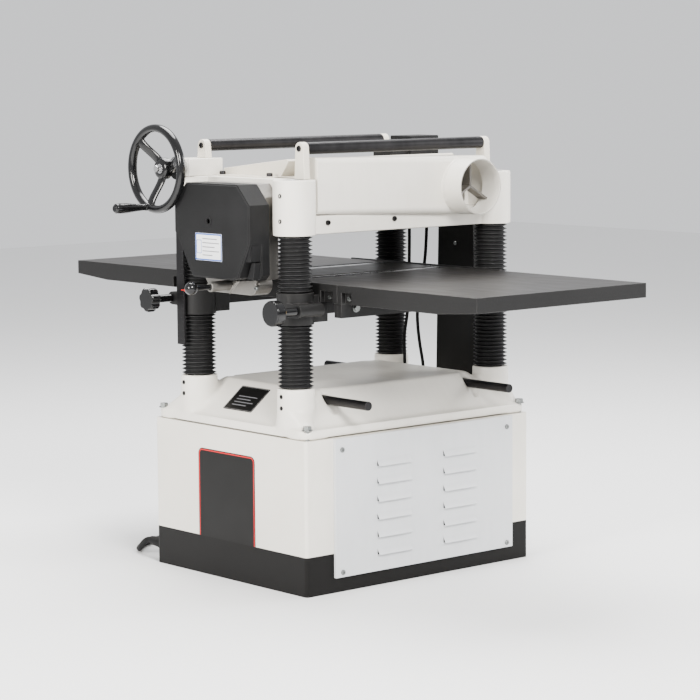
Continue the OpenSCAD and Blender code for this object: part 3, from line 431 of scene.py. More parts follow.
groups = {
    "edge": makeEdgeGroup(), "grain": makeGrainGroup(), "dust": makeDustGroup(), "smudge": makeSmudgeGroup(),
    "lines": makeMachinedGroup(),
}


def use(tree, group, **inputs):
    made = tree.nodes.new("ShaderNodeGroup")
    made.node_tree = groups[group]
    for label, value in inputs.items():
        if isinstance(value, bpy.types.NodeSocket):
            tree.links.new(value, made.inputs[label])
        else:
            made.inputs[label].default_value = value
    return made.outputs


def newMaterial(name):
    material = bpy.data.materials.new(name)
    material.use_nodes = True
    tree = material.node_tree
    shader = tree.nodes["Principled BSDF"]
    place = add(tree, "ShaderNodeTexCoord").outputs["Object"]
    return material, tree, shader, place


def rgba(colour):
    return (*colour, 1.0)


# the shader's inputs under short names
shaderInputs = {
    "colour": "Base Color", "metal": "Metallic", "rough": "Roughness", "normal": "Normal",
    "coat": "Coat Weight", "coatRough": "Coat Roughness", "specular": "Specular IOR Level",
}


def feed(tree, shader, **inputs):
    for key, value in inputs.items():
        if isinstance(value, bpy.types.NodeSocket):
            tree.links.new(value, shader.inputs[shaderInputs[key]])
        else:
            shader.inputs[shaderInputs[key]].default_value = value


# two close colours that follow the handling
def twoTone(tree, smudge, first, second):
    return mixed(tree, between(tree, smudge, 0.35, 0.7), rgba(first), rgba(second))


# roughness that follows the handling, from less to more than the look's own
def glossOf(tree, smudge, rough, less, more):
    return between(tree, smudge, 0.3, 0.75, rough - less, rough + more)


# paint over metal; band is (height, colour, specular) for a lower band of another colour
def painted(name, look, band=None):
    material, tree, shader, place = newMaterial(name)
    smudge = use(tree, "smudge", Place=place, Scale=5.0)["Value"]
    grain = use(tree, "grain", Place=place, Scale=look["grainScale"], Depth=look["grain"])
    edge = use(tree, "edge", Place=place, Radius=look["edge"], Reach=look["wearAndHighlightReach"])["Mask"]
    dust = use(tree, "dust", Place=place, Amount=look["dust"])["Mask"]
    colour = twoTone(tree, smudge, look["colour"], look["deep"])
    shine, coat = look["shine"], look["coat"]
    if band:
        height, bandColour, bandShine = band
        inBand = sums(tree, "LESS_THAN", heightOf(tree, place), height)
        colour = mixed(tree, inBand, colour, rgba(bandColour))
        shine = between(tree, inBand, 0.0, 1.0, shine, bandShine)
        coat = between(tree, inBand, 0.0, 1.0, coat, 0.0)
    colour = mixed(tree, edge, colour, rgba(look["wearAndHighlight"]))
    colour = mixed(tree, dust, colour, rgba(look["dustColour"]))
    rough = glossOf(tree, smudge, look["rough"], 0.06, 0.08)
    rough = sums(tree, "ADD", rough, sums(tree, "MULTIPLY", dust, 0.35), True)
    feed(tree, shader, colour=colour, rough=rough, normal=grain["Normal"], coat=coat, coatRough=0.25,
         specular=shine)
    return material


# bare metal; stretch is how a tool's lines run, as the scale along each axis
def metalled(name, look, stretch=None):
    material, tree, shader, place = newMaterial(name)
    smudge = use(tree, "smudge", Place=place, Scale=9.0)["Value"]
    edge = use(tree, "edge", Place=place, Radius=0.0008, Reach=look["wearAndHighlightReach"])["Mask"]
    if stretch:
        skin = use(tree, "lines", Place=stretched(tree, place, stretch), Depth=look["grain"])
    else:
        skin = use(tree, "grain", Place=place, Scale=look["grainScale"], Depth=look["grain"])
    colour = twoTone(tree, smudge, look["colour"], look["deep"])
    colour = mixed(tree, edge, colour, rgba(look["wearAndHighlight"]))
    rough = glossOf(tree, smudge, look["rough"], 0.07, 0.1)
    rough = sums(tree, "ADD", rough, between(tree, skin["Height"], 0.3, 0.7, -0.03, 0.05), True)
    feed(tree, shader, colour=colour, metal=1.0, rough=rough, normal=skin["Normal"])
    return material


# moulded plastic or rubber
def plastic(name, look):
    material, tree, shader, place = newMaterial(name)
    smudge = use(tree, "smudge", Place=place, Scale=8.0)["Value"]
    grain = use(tree, "grain", Place=place, Scale=look["grainScale"], Depth=look["grain"])
    edge = use(tree, "edge", Place=place, Radius=0.0009, Reach=look["wearAndHighlightReach"])["Mask"]
    dust = use(tree, "dust", Place=place, Amount=look["dust"])["Mask"]
    colour = twoTone(tree, smudge, look["colour"], look["deep"])
    # on the black moulding and the rubber built on it, this lighter edge colour is a painted highlight along
    # the edges; on the other plastics it is edge wear
    colour = mixed(tree, edge, colour, rgba(look["wearAndHighlight"]))
    colour = mixed(tree, dust, colour, (0.32, 0.30, 0.27, 1))
    rough = glossOf(tree, smudge, look["rough"], 0.05, 0.09)
    feed(tree, shader, colour=colour, rough=rough, normal=grain["Normal"], coat=look["coat"], coatRough=0.12,
         specular=look["shine"])
    return material


ironLook = {
    "top": (0.016, 0.0148, 0.0145), "topLight": (0.022, 0.0205, 0.0195), "side": (0.010, 0.0098, 0.0098),
    "stroke": (0.05, 0.047, 0.046), "wearAndHighlight": (0.08, 0.077, 0.075), "strokes": (900, 14, 14), "level": 0.97,
}


# ground and blacked top faces, painted rough sides below them
def tableIron():
    material, tree, shader, place = newMaterial("groundIron")
    ground = sums(tree, "GREATER_THAN", heightOf(tree, facing(tree)), ironLook["level"])
    smudge = use(tree, "smudge", Place=place, Scale=4.0)["Value"]
    strokes = use(tree, "lines", Place=stretched(tree, place, ironLook["strokes"]), Depth=0.12)
    grain = use(tree, "grain", Place=place, Scale=240.0, Depth=0.5)
    edge = use(tree, "edge", Place=place, Radius=0.0014, Reach=0.7)["Mask"]
    top = twoTone(tree, smudge, ironLook["top"], ironLook["topLight"])
    top = mixed(tree, between(tree, strokes["Height"], 0.55, 0.9), top, rgba(ironLook["stroke"]))
    colour = mixed(tree, ground, rgba(ironLook["side"]), top)
    colour = mixed(tree, edge, colour, rgba(ironLook["wearAndHighlight"]))
    skins = {0: ground, 4: grain["Normal"], 5: strokes["Normal"]}
    skin = add(tree, "ShaderNodeMix", skins, data_type="VECTOR").outputs[1]
    rough = glossOf(tree, smudge, 0.36, 0.0, 0.19)
    feed(tree, shader, colour=colour, rough=rough, normal=skin, specular=0.16)
    return material


# the crest colour and its share paint a sheen on the bellows: a painted highlight, lighter rubber along each
# crest
sleeveLook = {
    "colour": (0.004, 0.004, 0.0042), "light": (0.009, 0.009, 0.0095), "dust": (0.1, 0.095, 0.085),
    "crestSheen": (0.035, 0.035, 0.036), "dustShare": 0.06, "crestSheenShare": 0.4, "rough": (0.7, 0.4),
}


# rubber of the bellows: dust lies in the folds, and the crests are painted lighter as a painted sheen
def ribbedRubber():
    material, tree, shader, place = newMaterial("bellowsRubber")
    fold = add(tree, "ShaderNodeAttribute", attribute_name="fold").outputs["Fac"]
    smudge = use(tree, "smudge", Place=place, Scale=16.0)["Value"]
    grain = use(tree, "grain", Place=place, Scale=900.0, Depth=0.25)
    colour = mixed(tree, smudge, rgba(sleeveLook["colour"]), rgba(sleeveLook["light"]))
    dusty = between(tree, smudge, 0.3, 0.7)
    valley = sums(tree, "MULTIPLY", between(tree, fold, 0.45, 0.0), dusty, True)
    dusted = sums(tree, "MULTIPLY", valley, sleeveLook["dustShare"])
    colour = mixed(tree, dusted, colour, rgba(sleeveLook["dust"]))
    # lighter crests: a painted sheen
    crest = between(tree, fold, 0.8, 1.0, 0.0, sleeveLook["crestSheenShare"])
    colour = mixed(tree, crest, colour, rgba(sleeveLook["crestSheen"]))
    rough = between(tree, fold, 0.0, 1.0, *sleeveLook["rough"])
    feed(tree, shader, colour=colour, rough=rough, normal=grain["Normal"], specular=0.3)
    return material


whiteLook = {
    "colour": (0.72, 0.69, 0.63), "deep": (0.66, 0.63, 0.565), "shine": 0.4, "wearAndHighlight": (0.62, 0.61, 0.59),
    "grain": 0.35, "grainScale": 190.0, "edge": 0.0018, "wearAndHighlightReach": 0.35, "dust": 0.10,
    "dustColour": (0.62, 0.59, 0.53), "rough": 0.42, "coat": 0.1,
}
creamLook = {**whiteLook, "colour": (0.69, 0.645, 0.56), "deep": (0.63, 0.585, 0.50), "grain": 0.2}
sheetLook = {**whiteLook, "colour": (0.70, 0.67, 0.605), "deep": (0.65, 0.62, 0.55), "grain": 0.14,
             "grainScale": 420.0, "edge": 0.001, "wearAndHighlightReach": 0.2, "rough": 0.36}
panelLook = {**sheetLook, "colour": (0.55, 0.56, 0.575), "deep": (0.50, 0.51, 0.525)}
blackLook = {
    "colour": (0.006, 0.0058, 0.0055), "deep": (0.010, 0.0098, 0.0095), "wearAndHighlight": (0.07, 0.07, 0.07),
    "grain": 0.2, "grainScale": 420.0, "edge": 0.0009, "wearAndHighlightReach": 0.3, "dust": 0.05, "shine": 0.1,
    "dustColour": (0.22, 0.21, 0.19), "rough": 0.46, "coat": 0.0,
}
motorLook = {**blackLook, "colour": (0.055, 0.065, 0.075), "deep": (0.04, 0.048, 0.055), "dust": 0.5}
redLook = {**blackLook, "colour": (0.5, 0.03, 0.025), "deep": (0.42, 0.022, 0.02), "dust": 0.0, "rough": 0.3}
steelLook = {"colour": (0.58, 0.58, 0.585), "deep": (0.46, 0.46, 0.465), "wearAndHighlight": (0.75, 0.75, 0.75),
             "grain": 0.25, "grainScale": 500.0, "wearAndHighlightReach": 0.4, "rough": 0.28}
zincLook = {**steelLook, "colour": (0.26, 0.27, 0.265), "deep": (0.17, 0.18, 0.175), "wearAndHighlight": (0.5, 0.5, 0.5),
            "rough": 0.34, "grain": 0.12}
darkLook = {**steelLook, "colour": (0.022, 0.021, 0.022), "deep": (0.034, 0.033, 0.034),
            "wearAndHighlight": (0.16, 0.16, 0.16), "rough": 0.4}
bronzeLook = {**steelLook, "colour": (0.55, 0.38, 0.17), "deep": (0.42, 0.28, 0.12),
              "wearAndHighlight": (0.7, 0.52, 0.3)}
aluminiumLook = {
    "colour": (0.24, 0.23, 0.215), "deep": (0.16, 0.152, 0.14), "wearAndHighlight": (0.45, 0.44, 0.42),
    "grain": 0.9, "grainScale": 330.0, "wearAndHighlightReach": 0.5, "rough": 0.5,
}
# the moulding's edge colour, which the rubber look keeps, is lighter than the plastic: a painted highlight
# along the edges
mouldedLook = {
    "colour": (0.007, 0.007, 0.0072), "deep": (0.012, 0.012, 0.0125), "wearAndHighlight": (0.045, 0.045, 0.047),
    "grain": 0.45, "grainScale": 1100.0, "wearAndHighlightReach": 0.5, "dust": 0.02, "rough": 0.5, "coat": 0.0, "shine": 0.11,
}
glossLook = {
    **mouldedLook, "colour": (0.003, 0.003, 0.0033), "deep": (0.005, 0.005, 0.0055),
    "wearAndHighlight": (0.03, 0.03, 0.03), "grain": 0.03, "grainScale": 260.0, "wearAndHighlightReach": 0.3, "dust": 0.01,
    "rough": 0.14, "coat": 0.2, "shine": 0.3,
}
rubberLook = {**mouldedLook, "colour": (0.004, 0.004, 0.004), "deep": (0.008, 0.008, 0.008),
              "dust": 0.08, "rough": 0.6, "grainScale": 1500.0}
greenLook = {**glossLook, "colour": (0.02, 0.26, 0.06), "deep": (0.016, 0.2, 0.05), "wearAndHighlight": (0.1, 0.4, 0.15)}
stopLook = {**glossLook, "colour": (0.5, 0.02, 0.018), "deep": (0.42, 0.016, 0.015), "wearAndHighlight": (0.6, 0.1, 0.09)}
bandHeight = 0.088  # top of the black band round the foot of the cabinet

materials = {
    "white_paint": painted("whitePaint", whiteLook),
    "cream_paint": painted("creamPaint", creamLook),
    "white_sheet": painted("panelPaint", panelLook),
    "white_black_sheet": painted("cabinetPaint", sheetLook, (bandHeight, (0.0065, 0.0062, 0.006), 0.09)),
    "black_moulding": plastic("blackMoulding", mouldedLook),
    "black_paint": painted("blackPaint", blackLook),
    "cast_iron_dark": metalled("castIron", {**darkLook, "grain": 0.7, "grainScale": 260.0}),
    "ground_iron": tableIron(),
    "bright_steel": metalled("turnedSteel", steelLook, (1500, 9, 9)),
    "zinc_bolt": metalled("zincPlate", zincLook),
    "dark_steel": metalled("blackenedSteel", darkLook, (420, 11, 11)),
    "bronze": metalled("bronze", bronzeLook, (12, 12, 1200)),
    "cast_aluminium": metalled("castAluminium", aluminiumLook),
    "gloss_black": plastic("polishedBlack", glossLook),
    "bellows_rubber": ribbedRubber(),
    "belt_rubber": plastic("beltRubber", {**rubberLook, "rough": 0.7}),
    "cord_rubber": plastic("cordRubber", rubberLook),
    "start_green": plastic("startGreen", greenLook),
    "stop_red": plastic("stopRed", stopLook),
    "pointer_red": painted("pointerRed", redLook),
    "motor_paint": painted("motorPaint", motorLook),
}
print("materials made")


# floor
def makeFloor():
    material, tree, shader, place = newMaterial("studioFloor")
    smudge = use(tree, "smudge", Place=place, Scale=1.4)["Value"]
    colour = mixed(tree, smudge, (0.86, 0.86, 0.86, 1), (0.83, 0.83, 0.828, 1))
    feed(tree, shader, colour=colour, rough=0.55, specular=0.2)
    reach = 9.0
    points = [(-reach, -reach, 0), (reach, -reach, 0), (reach, reach, 0), (-reach, reach, 0)]
    floor = meshObject("floor", points, [(0, 1, 2, 3)], smooth=False)
    floor.data.materials.append(material)


makeFloor()

# cords
mains = {"thick": 0.014, "length": 2.33}
# the free stretch, from the gland to the coil
mainsRoute = [
    (0.318, -0.3235, 0.042), (0.318, -0.330, 0.042), (0.318, -0.339, 0.040), (0.317, -0.350, 0.035),
    (0.315, -0.362, 0.027), (0.311, -0.375, 0.0185), (0.305, -0.389, 0.0115), (0.296, -0.403, 0.008),
    (0.284, -0.417, 0.007), (0.268, -0.431, 0.007), (0.249, -0.445, 0.007), (0.228, -0.457, 0.007),
    (0.206, -0.467, 0.007), (0.183, -0.474, 0.007), (0.160, -0.479, 0.007), (0.137, -0.4815, 0.007),
    (0.114, -0.4815, 0.007), (0.090, -0.4815, 0.007),
]
coil = {
    "centre": (0.090, -0.3925), "outer": 0.089, "pitch": 0.0146, "low": 0.007, "high": 0.0214,
    "turns": 2, "climb": 0.25, "perTurn": 28,
}
mainsTail = [
    (-0.003, -0.378, 0.0208), (-0.010, -0.366, 0.0190), (-0.016, -0.356, 0.0175), (-0.018, -0.348, 0.0170),
]


# turns inwards on the floor, a climb, and as many turns outwards on top
def coilRoute():
    route = []
    turns, climb, centre = coil["turns"], coil["climb"], coil["centre"]
    total = 2 * turns + climb
    count = int(total * coil["perTurn"])
    for i in range(1, count + 1):
        turn = total * i / count
        if turn <= turns:
            radius, height = coil["outer"] - coil["pitch"] * turn, coil["low"]
        elif turn <= turns + climb:
            share = (turn - turns) / climb
            radius = coil["outer"] - coil["pitch"] * turns
            height = coil["low"] + (coil["high"] - coil["low"]) * share * share * (3 - 2 * share)
        else:
            radius, height = coil["outer"] - coil["pitch"] * (total - turn), coil["high"]
        angle = -math.pi / 2 - 2 * math.pi * turn
        route.append((centre[0] + radius * math.cos(angle), centre[1] + radius * math.sin(angle), height))
    return route


# more points on one smooth curve through the given ones
def smoothRoute(points, steps=3):
    route = []
    for i in range(len(points) - 1):
        a, b = Vector(points[max(i - 1, 0)]), Vector(points[i])
        c, d = Vector(points[i + 1]), Vector(points[min(i + 2, len(points) - 1)])
        for step in range(steps):
            t = step / steps
            bend = (2 * a - 5 * b + 4 * c - d) * t * t
            twist = (3 * b - a - 3 * c + d) * t ** 3
            route.append(0.5 * (2 * b + (c - a) * t + bend + twist))
    route.append(Vector(points[-1]))
    return route


def cordCurve(name, route, thick, material):
    data = bpy.data.curves.new(name, "CURVE")
    data.dimensions = "3D"
    data.bevel_depth = thick / 2
    data.bevel_resolution = 4
    data.use_fill_caps = True
    line = data.splines.new("POLY")
    line.points.add(len(route) - 1)
    for point, place in zip(line.points, route):
        point.co = (*place, 1)
    made = bpy.data.objects.new(name, data)
    bpy.context.scene.collection.objects.link(made)
    data.materials.append(material)
    return made


mainsLine = smoothRoute(mainsRoute) + coilRoute() + smoothRoute(mainsTail, 2)
mainsLead = cordCurve("mains_lead", mainsLine, mains["thick"], materials["cord_rubber"])
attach(mainsLead, "frame")
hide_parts("mains_cord", "cord_coil")

headLeads = {"thick": 0.008, "x": -0.294}
headLeadRoutes = {
    "head_lead_a": [(-0.036, 0.386), (-0.042, 0.437), (-0.052, 0.480), (-0.059, 0.522), (-0.060, 0.563),
                    (-0.050, 0.615), (-0.034, 0.683), (-0.028, 0.740), (-0.026, 0.788)],
    "head_lead_b": [(-0.104, 0.386), (-0.107, 0.450), (-0.107, 0.500), (-0.098, 0.545), (-0.091, 0.600),
                    (-0.089, 0.680), (-0.088, 0.740), (-0.088, 0.788)],
}
for name, route in headLeadRoutes.items():
    line = smoothRoute([(headLeads["x"], y, z) for y, z in route], 5)
    lead = cordCurve(name, line, headLeads["thick"], materials["cord_rubber"])
    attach(lead, "frame")
    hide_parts("head_cables")
print("cords laid")

bellows = {
    "pleats": 16, "upperPleats": 14, "crest": 0.0393, "valley": 0.0305, "sharpness": 1.35,
    "inset": 0.0395, "steps": 8, "sides": 44,
}


# repeated pieces and sleeves are made by geometry nodes
def newGeometryTree(name, inputs):
    tree = bpy.data.node_groups.new(name, "GeometryNodeTree")
    tree.interface.new_socket("Geometry", in_out="INPUT", socket_type="NodeSocketGeometry")
    for label, kind in inputs.items():
        tree.interface.new_socket(label, in_out="INPUT", socket_type="NodeSocket" + kind)
    tree.interface.new_socket("Geometry", in_out="OUTPUT", socket_type="NodeSocketGeometry")
    return tree, tree.nodes.new("NodeGroupInput").outputs, tree.nodes.new("NodeGroupOutput")


# count pieces along Step, in Rows along Row Step
def makeRowTree():
    tree, given, out = newGeometryTree("rowsOfPieces", {
        "Piece": "Object", "Start": "Vector", "Step": "Vector", "Count": "Int", "Row Step": "Vector",
        "Rows": "Int", "Finish": "Material"})
    across = add(tree, "GeometryNodeMeshLine", {
        "Count": given["Count"], "Start Location": given["Start"], "Offset": given["Step"]}, mode="OFFSET")
    down = add(tree, "GeometryNodeMeshLine", {
        "Count": given["Rows"], "Offset": given["Row Step"]}, mode="OFFSET")
    grid = add(tree, "GeometryNodeInstanceOnPoints", {
        "Points": across.outputs[0], "Instance": down.outputs[0]})
    spots = add(tree, "GeometryNodeRealizeInstances", {0: grid.outputs[0]})
    piece = add(tree, "GeometryNodeObjectInfo", {"Object": given["Piece"]}).outputs["Geometry"]
    put = add(tree, "GeometryNodeInstanceOnPoints", {"Points": spots.outputs[0], "Instance": piece})
    whole = add(tree, "GeometryNodeRealizeInstances", {0: put.outputs[0]})
    done = add(tree, "GeometryNodeSetMaterial", {"Geometry": whole.outputs[0], "Material": given["Finish"]})
    tree.links.new(done.outputs[0], out.inputs[0])
    return tree


# a pleated sleeve from Low to High. The fold attribute runs from 0 in a valley to 1 on a crest
def makeSleeveTree():
    tree, given, out = newGeometryTree("pleatedSleeve", {
        "Low": "Vector", "High": "Vector", "Pleats": "Int", "Crest": "Float", "Valley": "Float",
        "Steps": "Int", "Sides": "Int", "Finish": "Material"})
    line = add(tree, "GeometryNodeCurvePrimitiveLine", {"Start": given["Low"], "End": given["High"]})
    count = sums(tree, "ADD", sums(tree, "MULTIPLY", given["Pleats"], given["Steps"]), 1.0)
    fine = add(tree, "GeometryNodeResampleCurve", {"Curve": line.outputs[0], "Count": count})
    share = add(tree, "GeometryNodeSplineParameter").outputs["Factor"]
    phase = sums(tree, "FRACT", sums(tree, "MULTIPLY", share, given["Pleats"]))
    away = sums(tree, "ABSOLUTE", sums(tree, "SUBTRACT", phase, 0.5))
    rise = sums(tree, "SUBTRACT", 1.0, sums(tree, "MULTIPLY", away, 2.0))
    fold = sums(tree, "POWER", rise, bellows["sharpness"])
    marked = add(tree, "GeometryNodeStoreNamedAttribute", {
        "Geometry": fine.outputs[0], "Name": "fold", "Value": fold}, data_type="FLOAT", domain="POINT")
    reach = sums(tree, "SUBTRACT", given["Crest"], given["Valley"])
    radius = sums(tree, "ADD", given["Valley"], sums(tree, "MULTIPLY", reach, fold))
    ring = add(tree, "GeometryNodeCurvePrimitiveCircle", {"Resolution": given["Sides"], "Radius": 1.0})
    skin = add(tree, "GeometryNodeCurveToMesh", {
        "Curve": marked.outputs[0], "Profile Curve": ring.outputs[0], "Scale": radius, "Fill Caps": True})
    smooth = add(tree, "GeometryNodeSetShadeSmooth", {0: skin.outputs[0]})
    whole = add(tree, "GeometryNodeRealizeInstances", {0: smooth.outputs[0]})
    done = add(tree, "GeometryNodeSetMaterial", {"Geometry": whole.outputs[0], "Material": given["Finish"]})
    tree.links.new(done.outputs[0], out.inputs[0])
    return tree


rowTree = makeRowTree()
sleeveTree = makeSleeveTree()


# runs a geometry tree with these inputs and keeps the result as a plain mesh object
def grown(name, tree, **values):
    holder = newObject(name + "_holder", bpy.data.meshes.new(name + "_holder"))
    grower = holder.modifiers.new("grow", "NODES")
    grower.node_group = tree
    for socket in tree.interface.items_tree:
        key = socket.name.replace(" ", "_")
        if socket.in_out == "INPUT" and key in values:
            grower[socket.identifier] = values[key]
    graph = bpy.context.evaluated_depsgraph_get()
    mesh = bpy.data.meshes.new_from_object(holder.evaluated_get(graph))
    bpy.data.objects.remove(holder)
    mesh.name = name
    return newObject(name, mesh)


templates = []


def keepTemplate(name, spots, faces, angle):
    made = sharpened(meshObject(name, spots, faces), angle)
    templates.append(made)
    return made


# a screw's head with a recess: points 6 is close to a hexagon, 4 with a deep cut is a cross
def screwHead(name, axis, radius, height, recess=0.5, points=6, cut=0.12, sides=24, depth=0.6):
    chamferLow, chamferIn = 0.7, 0.86
    place = frameAt((0, 0, 0), axis)
    rings = [(radius, 0, False), (radius, height * chamferLow, False), (radius * chamferIn, height, False),
             (radius * recess, height, True), (radius * recess, height * (1 - depth), True)]
    spots = []
    for size, lift, star in rings:
        for side in range(sides):
            angle = 2 * math.pi * side / sides
            reach = size * (1 - cut * (0.5 - 0.5 * math.cos(points * angle))) if star else size
            spots.append(place @ Vector((reach * math.cos(angle), reach * math.sin(angle), lift)))
    ends = [tuple(range(sides)), tuple(range(len(spots) - sides, len(spots)))]
    return keepTemplate(name, spots, ends + wallFaces(len(rings), sides), 35)


# a hexagon head with a round flange under it and a round crown
def hexHead(name, axis, flats, height, sides=24):
    flangeOut, flangeHigh, shoulder, crown = 1.28, 0.12, 0.88, 0.93
    place = frameAt((0, 0, 0), axis)
    radius = flats / math.sqrt(3)
    rings = [(radius * flangeOut, 0, False), (radius * flangeOut, height * flangeHigh, False),
             (radius, height * flangeHigh, True), (radius, height * shoulder, True),
             (radius * shoulder * crown, height, False)]
    spots = []
    for size, lift, sixSided in rings:
        for side in range(sides):
            angle = 2 * math.pi * side / sides
            flat = math.cos(math.pi / 6) / math.cos(angle % (math.pi / 3) - math.pi / 6)
            reach = size * flat if sixSided else size
            spots.append(place @ Vector((reach * math.cos(angle), reach * math.sin(angle), lift)))
    ends = [tuple(range(sides)), tuple(range(len(spots) - sides, len(spots)))]
    return keepTemplate(name, spots, ends + wallFaces(len(rings), sides), 28)


def row(name, piece, start, step, count, body, slot, rowStep=(0, 0, 0), rows=1, replaced=()):
    made = grown(name, rowTree, Piece=piece, Start=start, Step=step, Count=count, Row_Step=rowStep,
                 Rows=rows, Finish=materials[slot])
    return dress(made, body, slot, *replaced)


# castings, sheet and covers
for name, node in nodes.items():
    node.data.materials.clear()
    node.data.materials.append(materials[slotOf[name]])

barLow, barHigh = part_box("lifting_bar_rear_right")
barX, barZ = (barLow.x + barHigh.x) / 2, (barLow.z + barHigh.z) / 2
barBore = (barHigh.x - barLow.x) / 2 + 0.0004  # the bore clears its bar by 0.4 mm
cast = {"grain": 0.0045, "rounds": 5, "boreLength": 0.6}
bores = [((side * barX, 0, barZ), (0, 1, 0), barBore, cast["boreLength"]) for side in (-1, 1)]
castOf("base_casting", cast["grain"], cast["rounds"], bores)

softened = {
    # node: width of the softened edge
    "head_casting": 0.0028, "head_cover": 0.0010, "handwheel_bracket": 0.002, "roller_lugs": 0.0016,
    "dust_hood": 0.0009, "gearbox_casting": 0.0016, "gearbox_cover": 0.0012, "cabinet_shell": 0.0008,
    "access_panel": 0.0006, "belt_guard": 0.0009, "table_casting": 0.0011, "infeed_extension": 0.0011,
    "outfeed_extension": 0.0011, "switch_box": 0.0022, "lock_knob_front": 0.0012, "height_scale": 0.0003,
    "lock_knob_rear": 0.0012, "base_bolts": 0.0006, "shift_lever": 0.0006, "handwheel_handle": 0.0005,
    "handwheel_shaft": 0.0005, "height_pointer": 0.0003, "start_button": 0.0008, "stop_button": 0.0008,
    "chip_breaker": 0.0006, "kickback_fingers": 0.0005, "return_roller_front": 0.0006,
    "return_roller_rear": 0.0006, "bed_roller_front": 0.0006, "bed_roller_rear": 0.0006,
    "infeed_roller": 0.0004, "outfeed_roller": 0.0006,
    "cutterhead": 0.0005, "cord_gland": 0.0008, "motor": 0.002, "motor_mount": 0.0008,
    "guide_columns": 0.0005,
    "lifting_bar_front_right": 0.0009, "lifting_bar_rear_right": 0.0009, "lifting_bar_front_left": 0.0009,
    "lifting_bar_rear_left": 0.0009,
}
openFaced = ("head_cover",)  # faces with large openings stay as they are
for name, width in softened.items():
    finishOf(name, width, name not in openFaced)
print("castings and covers finished")


def joined(name, parts):
    with bpy.context.temp_override(active_object=parts[0], selected_editable_objects=parts):
        bpy.ops.object.join()
    parts[0].name = name
    return parts[0]


# four sleeves that stretch between the frame and the table
def makeBellows(name, node, pleats):
    low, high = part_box(node)
    inset = bellows["inset"]
    cornerX = high.x - inset
    sleeves = []
    for x in (-cornerX, cornerX):
        for y in (low.y + inset, high.y - inset):
            sleeves.append(grown("sleeve", sleeveTree, Low=(x, y, low.z), High=(x, y, high.z), Pleats=pleats,
                                 Crest=bellows["crest"], Valley=bellows["valley"], Steps=bellows["steps"],
                                 Sides=bellows["sides"], Finish=materials["bellows_rubber"]))
    made = joined(name, sleeves)
    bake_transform(made)
    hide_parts(node)
    return made


makeBellows("lower_sleeves", "lower_bellows", bellows["pleats"])
makeBellows("upper_sleeves", "upper_bellows", bellows["upperPleats"])
print("bellows made")

# handwheel
wheel = {
    "rimRadius": 0.091, "rimHalf": (0.009, 0.010), "rimOut": 0.032, "squareness": 0.8,
    "spokes": (14, 134, 254), "spokeFrom": 0.017, "spokeLength": 0.069, "spokeHalf": (0.0130, 0.0048),
    "waist": 0.12, "rootOut": 0.011, "dish": 0.021,
    "hub": 0.024, "hubBore": 0.01103, "hubHigh": 0.024, "hubChamfer": 0.004,
    "boss": 0.008, "bossBore": 0.0041, "bossHigh": 0.0175, "bossChamfer": 0.001, "bossBack": 0.004,
}


# one side of a squarish round section, from -half to half
def squarish(value, half):
    return math.copysign(abs(value) ** wheel["squareness"], value) * half


def makeHandwheel():
    low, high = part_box("handwheel")
    centre = Vector((low.x, (low.y + high.y) / 2, (low.z + high.z) / 2))
    rimX = low.x + wheel["rimOut"]
    section = []
    for step in range(20):
        angle = 2 * math.pi * step / 20
        across = squarish(math.cos(angle), wheel["rimHalf"][0])
        along = squarish(math.sin(angle), wheel["rimHalf"][1])
        section.append((wheel["rimRadius"] + across, along))
    parts = [lathe("rim", section, (rimX, centre.y, centre.z), (1, 0, 0), 96, closed=True)]
    hub, bore, top, chamfer = wheel["hub"], wheel["hubBore"], wheel["hubHigh"], wheel["hubChamfer"]
    outline = [(bore, 0), (hub - chamfer, 0), (hub, chamfer), (hub, top - 0.005), (hub - 0.002, top - 0.002),
               (hub - 0.007, top), (bore, top)]
    parts.append(lathe("hub", outline, centre, (1, 0, 0), 64, closed=True))
    for angle in wheel["spokes"]:
        out = Vector((0, math.cos(math.radians(angle)), math.sin(math.radians(angle))))
        path, sizes = [], []
        for step in range(13):
            t = step / 12
            rise = t * t * (3 - 2 * t)
            away = out * (wheel["spokeFrom"] + wheel["spokeLength"] * t)
            path.append(centre + away + Vector((wheel["rootOut"] + wheel["dish"] * rise, 0, 0)))
            waist = 1 - wheel["waist"] * math.sin(math.pi * t)
            sizes.append((wheel["spokeHalf"][0] * waist, wheel["spokeHalf"][1]))
        parts.append(tube("spoke", path, sizes, (1, 0, 0), 20))
    handleLow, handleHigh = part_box("handwheel_handle")
    bossAt = (rimX - wheel["bossBack"], (handleLow.y + handleHigh.y) / 2, (handleLow.z + handleHigh.z) / 2)
    boss, bore, top, chamfer = wheel["boss"], wheel["bossBore"], wheel["bossHigh"], wheel["bossChamfer"]
    outline = [(bore, 0), (boss, 0), (boss, top - chamfer), (boss - chamfer, top), (bore, top)]
    parts.append(lathe("boss", outline, bossAt, (1, 0, 0), 32, closed=True))
    return dress(joined("handwheel_finish", parts), bodyOf["handwheel"], "gloss_black", "handwheel")


makeHandwheel()
print("handwheel made")



# a turned ring with softened outer edges
def ringAt(name, centre, axis, inner, outer, thick, body, slot, steps=56):
    edge = min(0.0004, thick / 3)
    outline = [(inner, 0), (outer - edge, 0), (outer, edge), (outer, thick - edge), (outer - edge, thick),
               (inner, thick)]
    return dress(lathe(name, outline, centre, axis, steps, closed=True), body, slot)


def middleOf(node):
    low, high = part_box(node)
    return (low + high) / 2


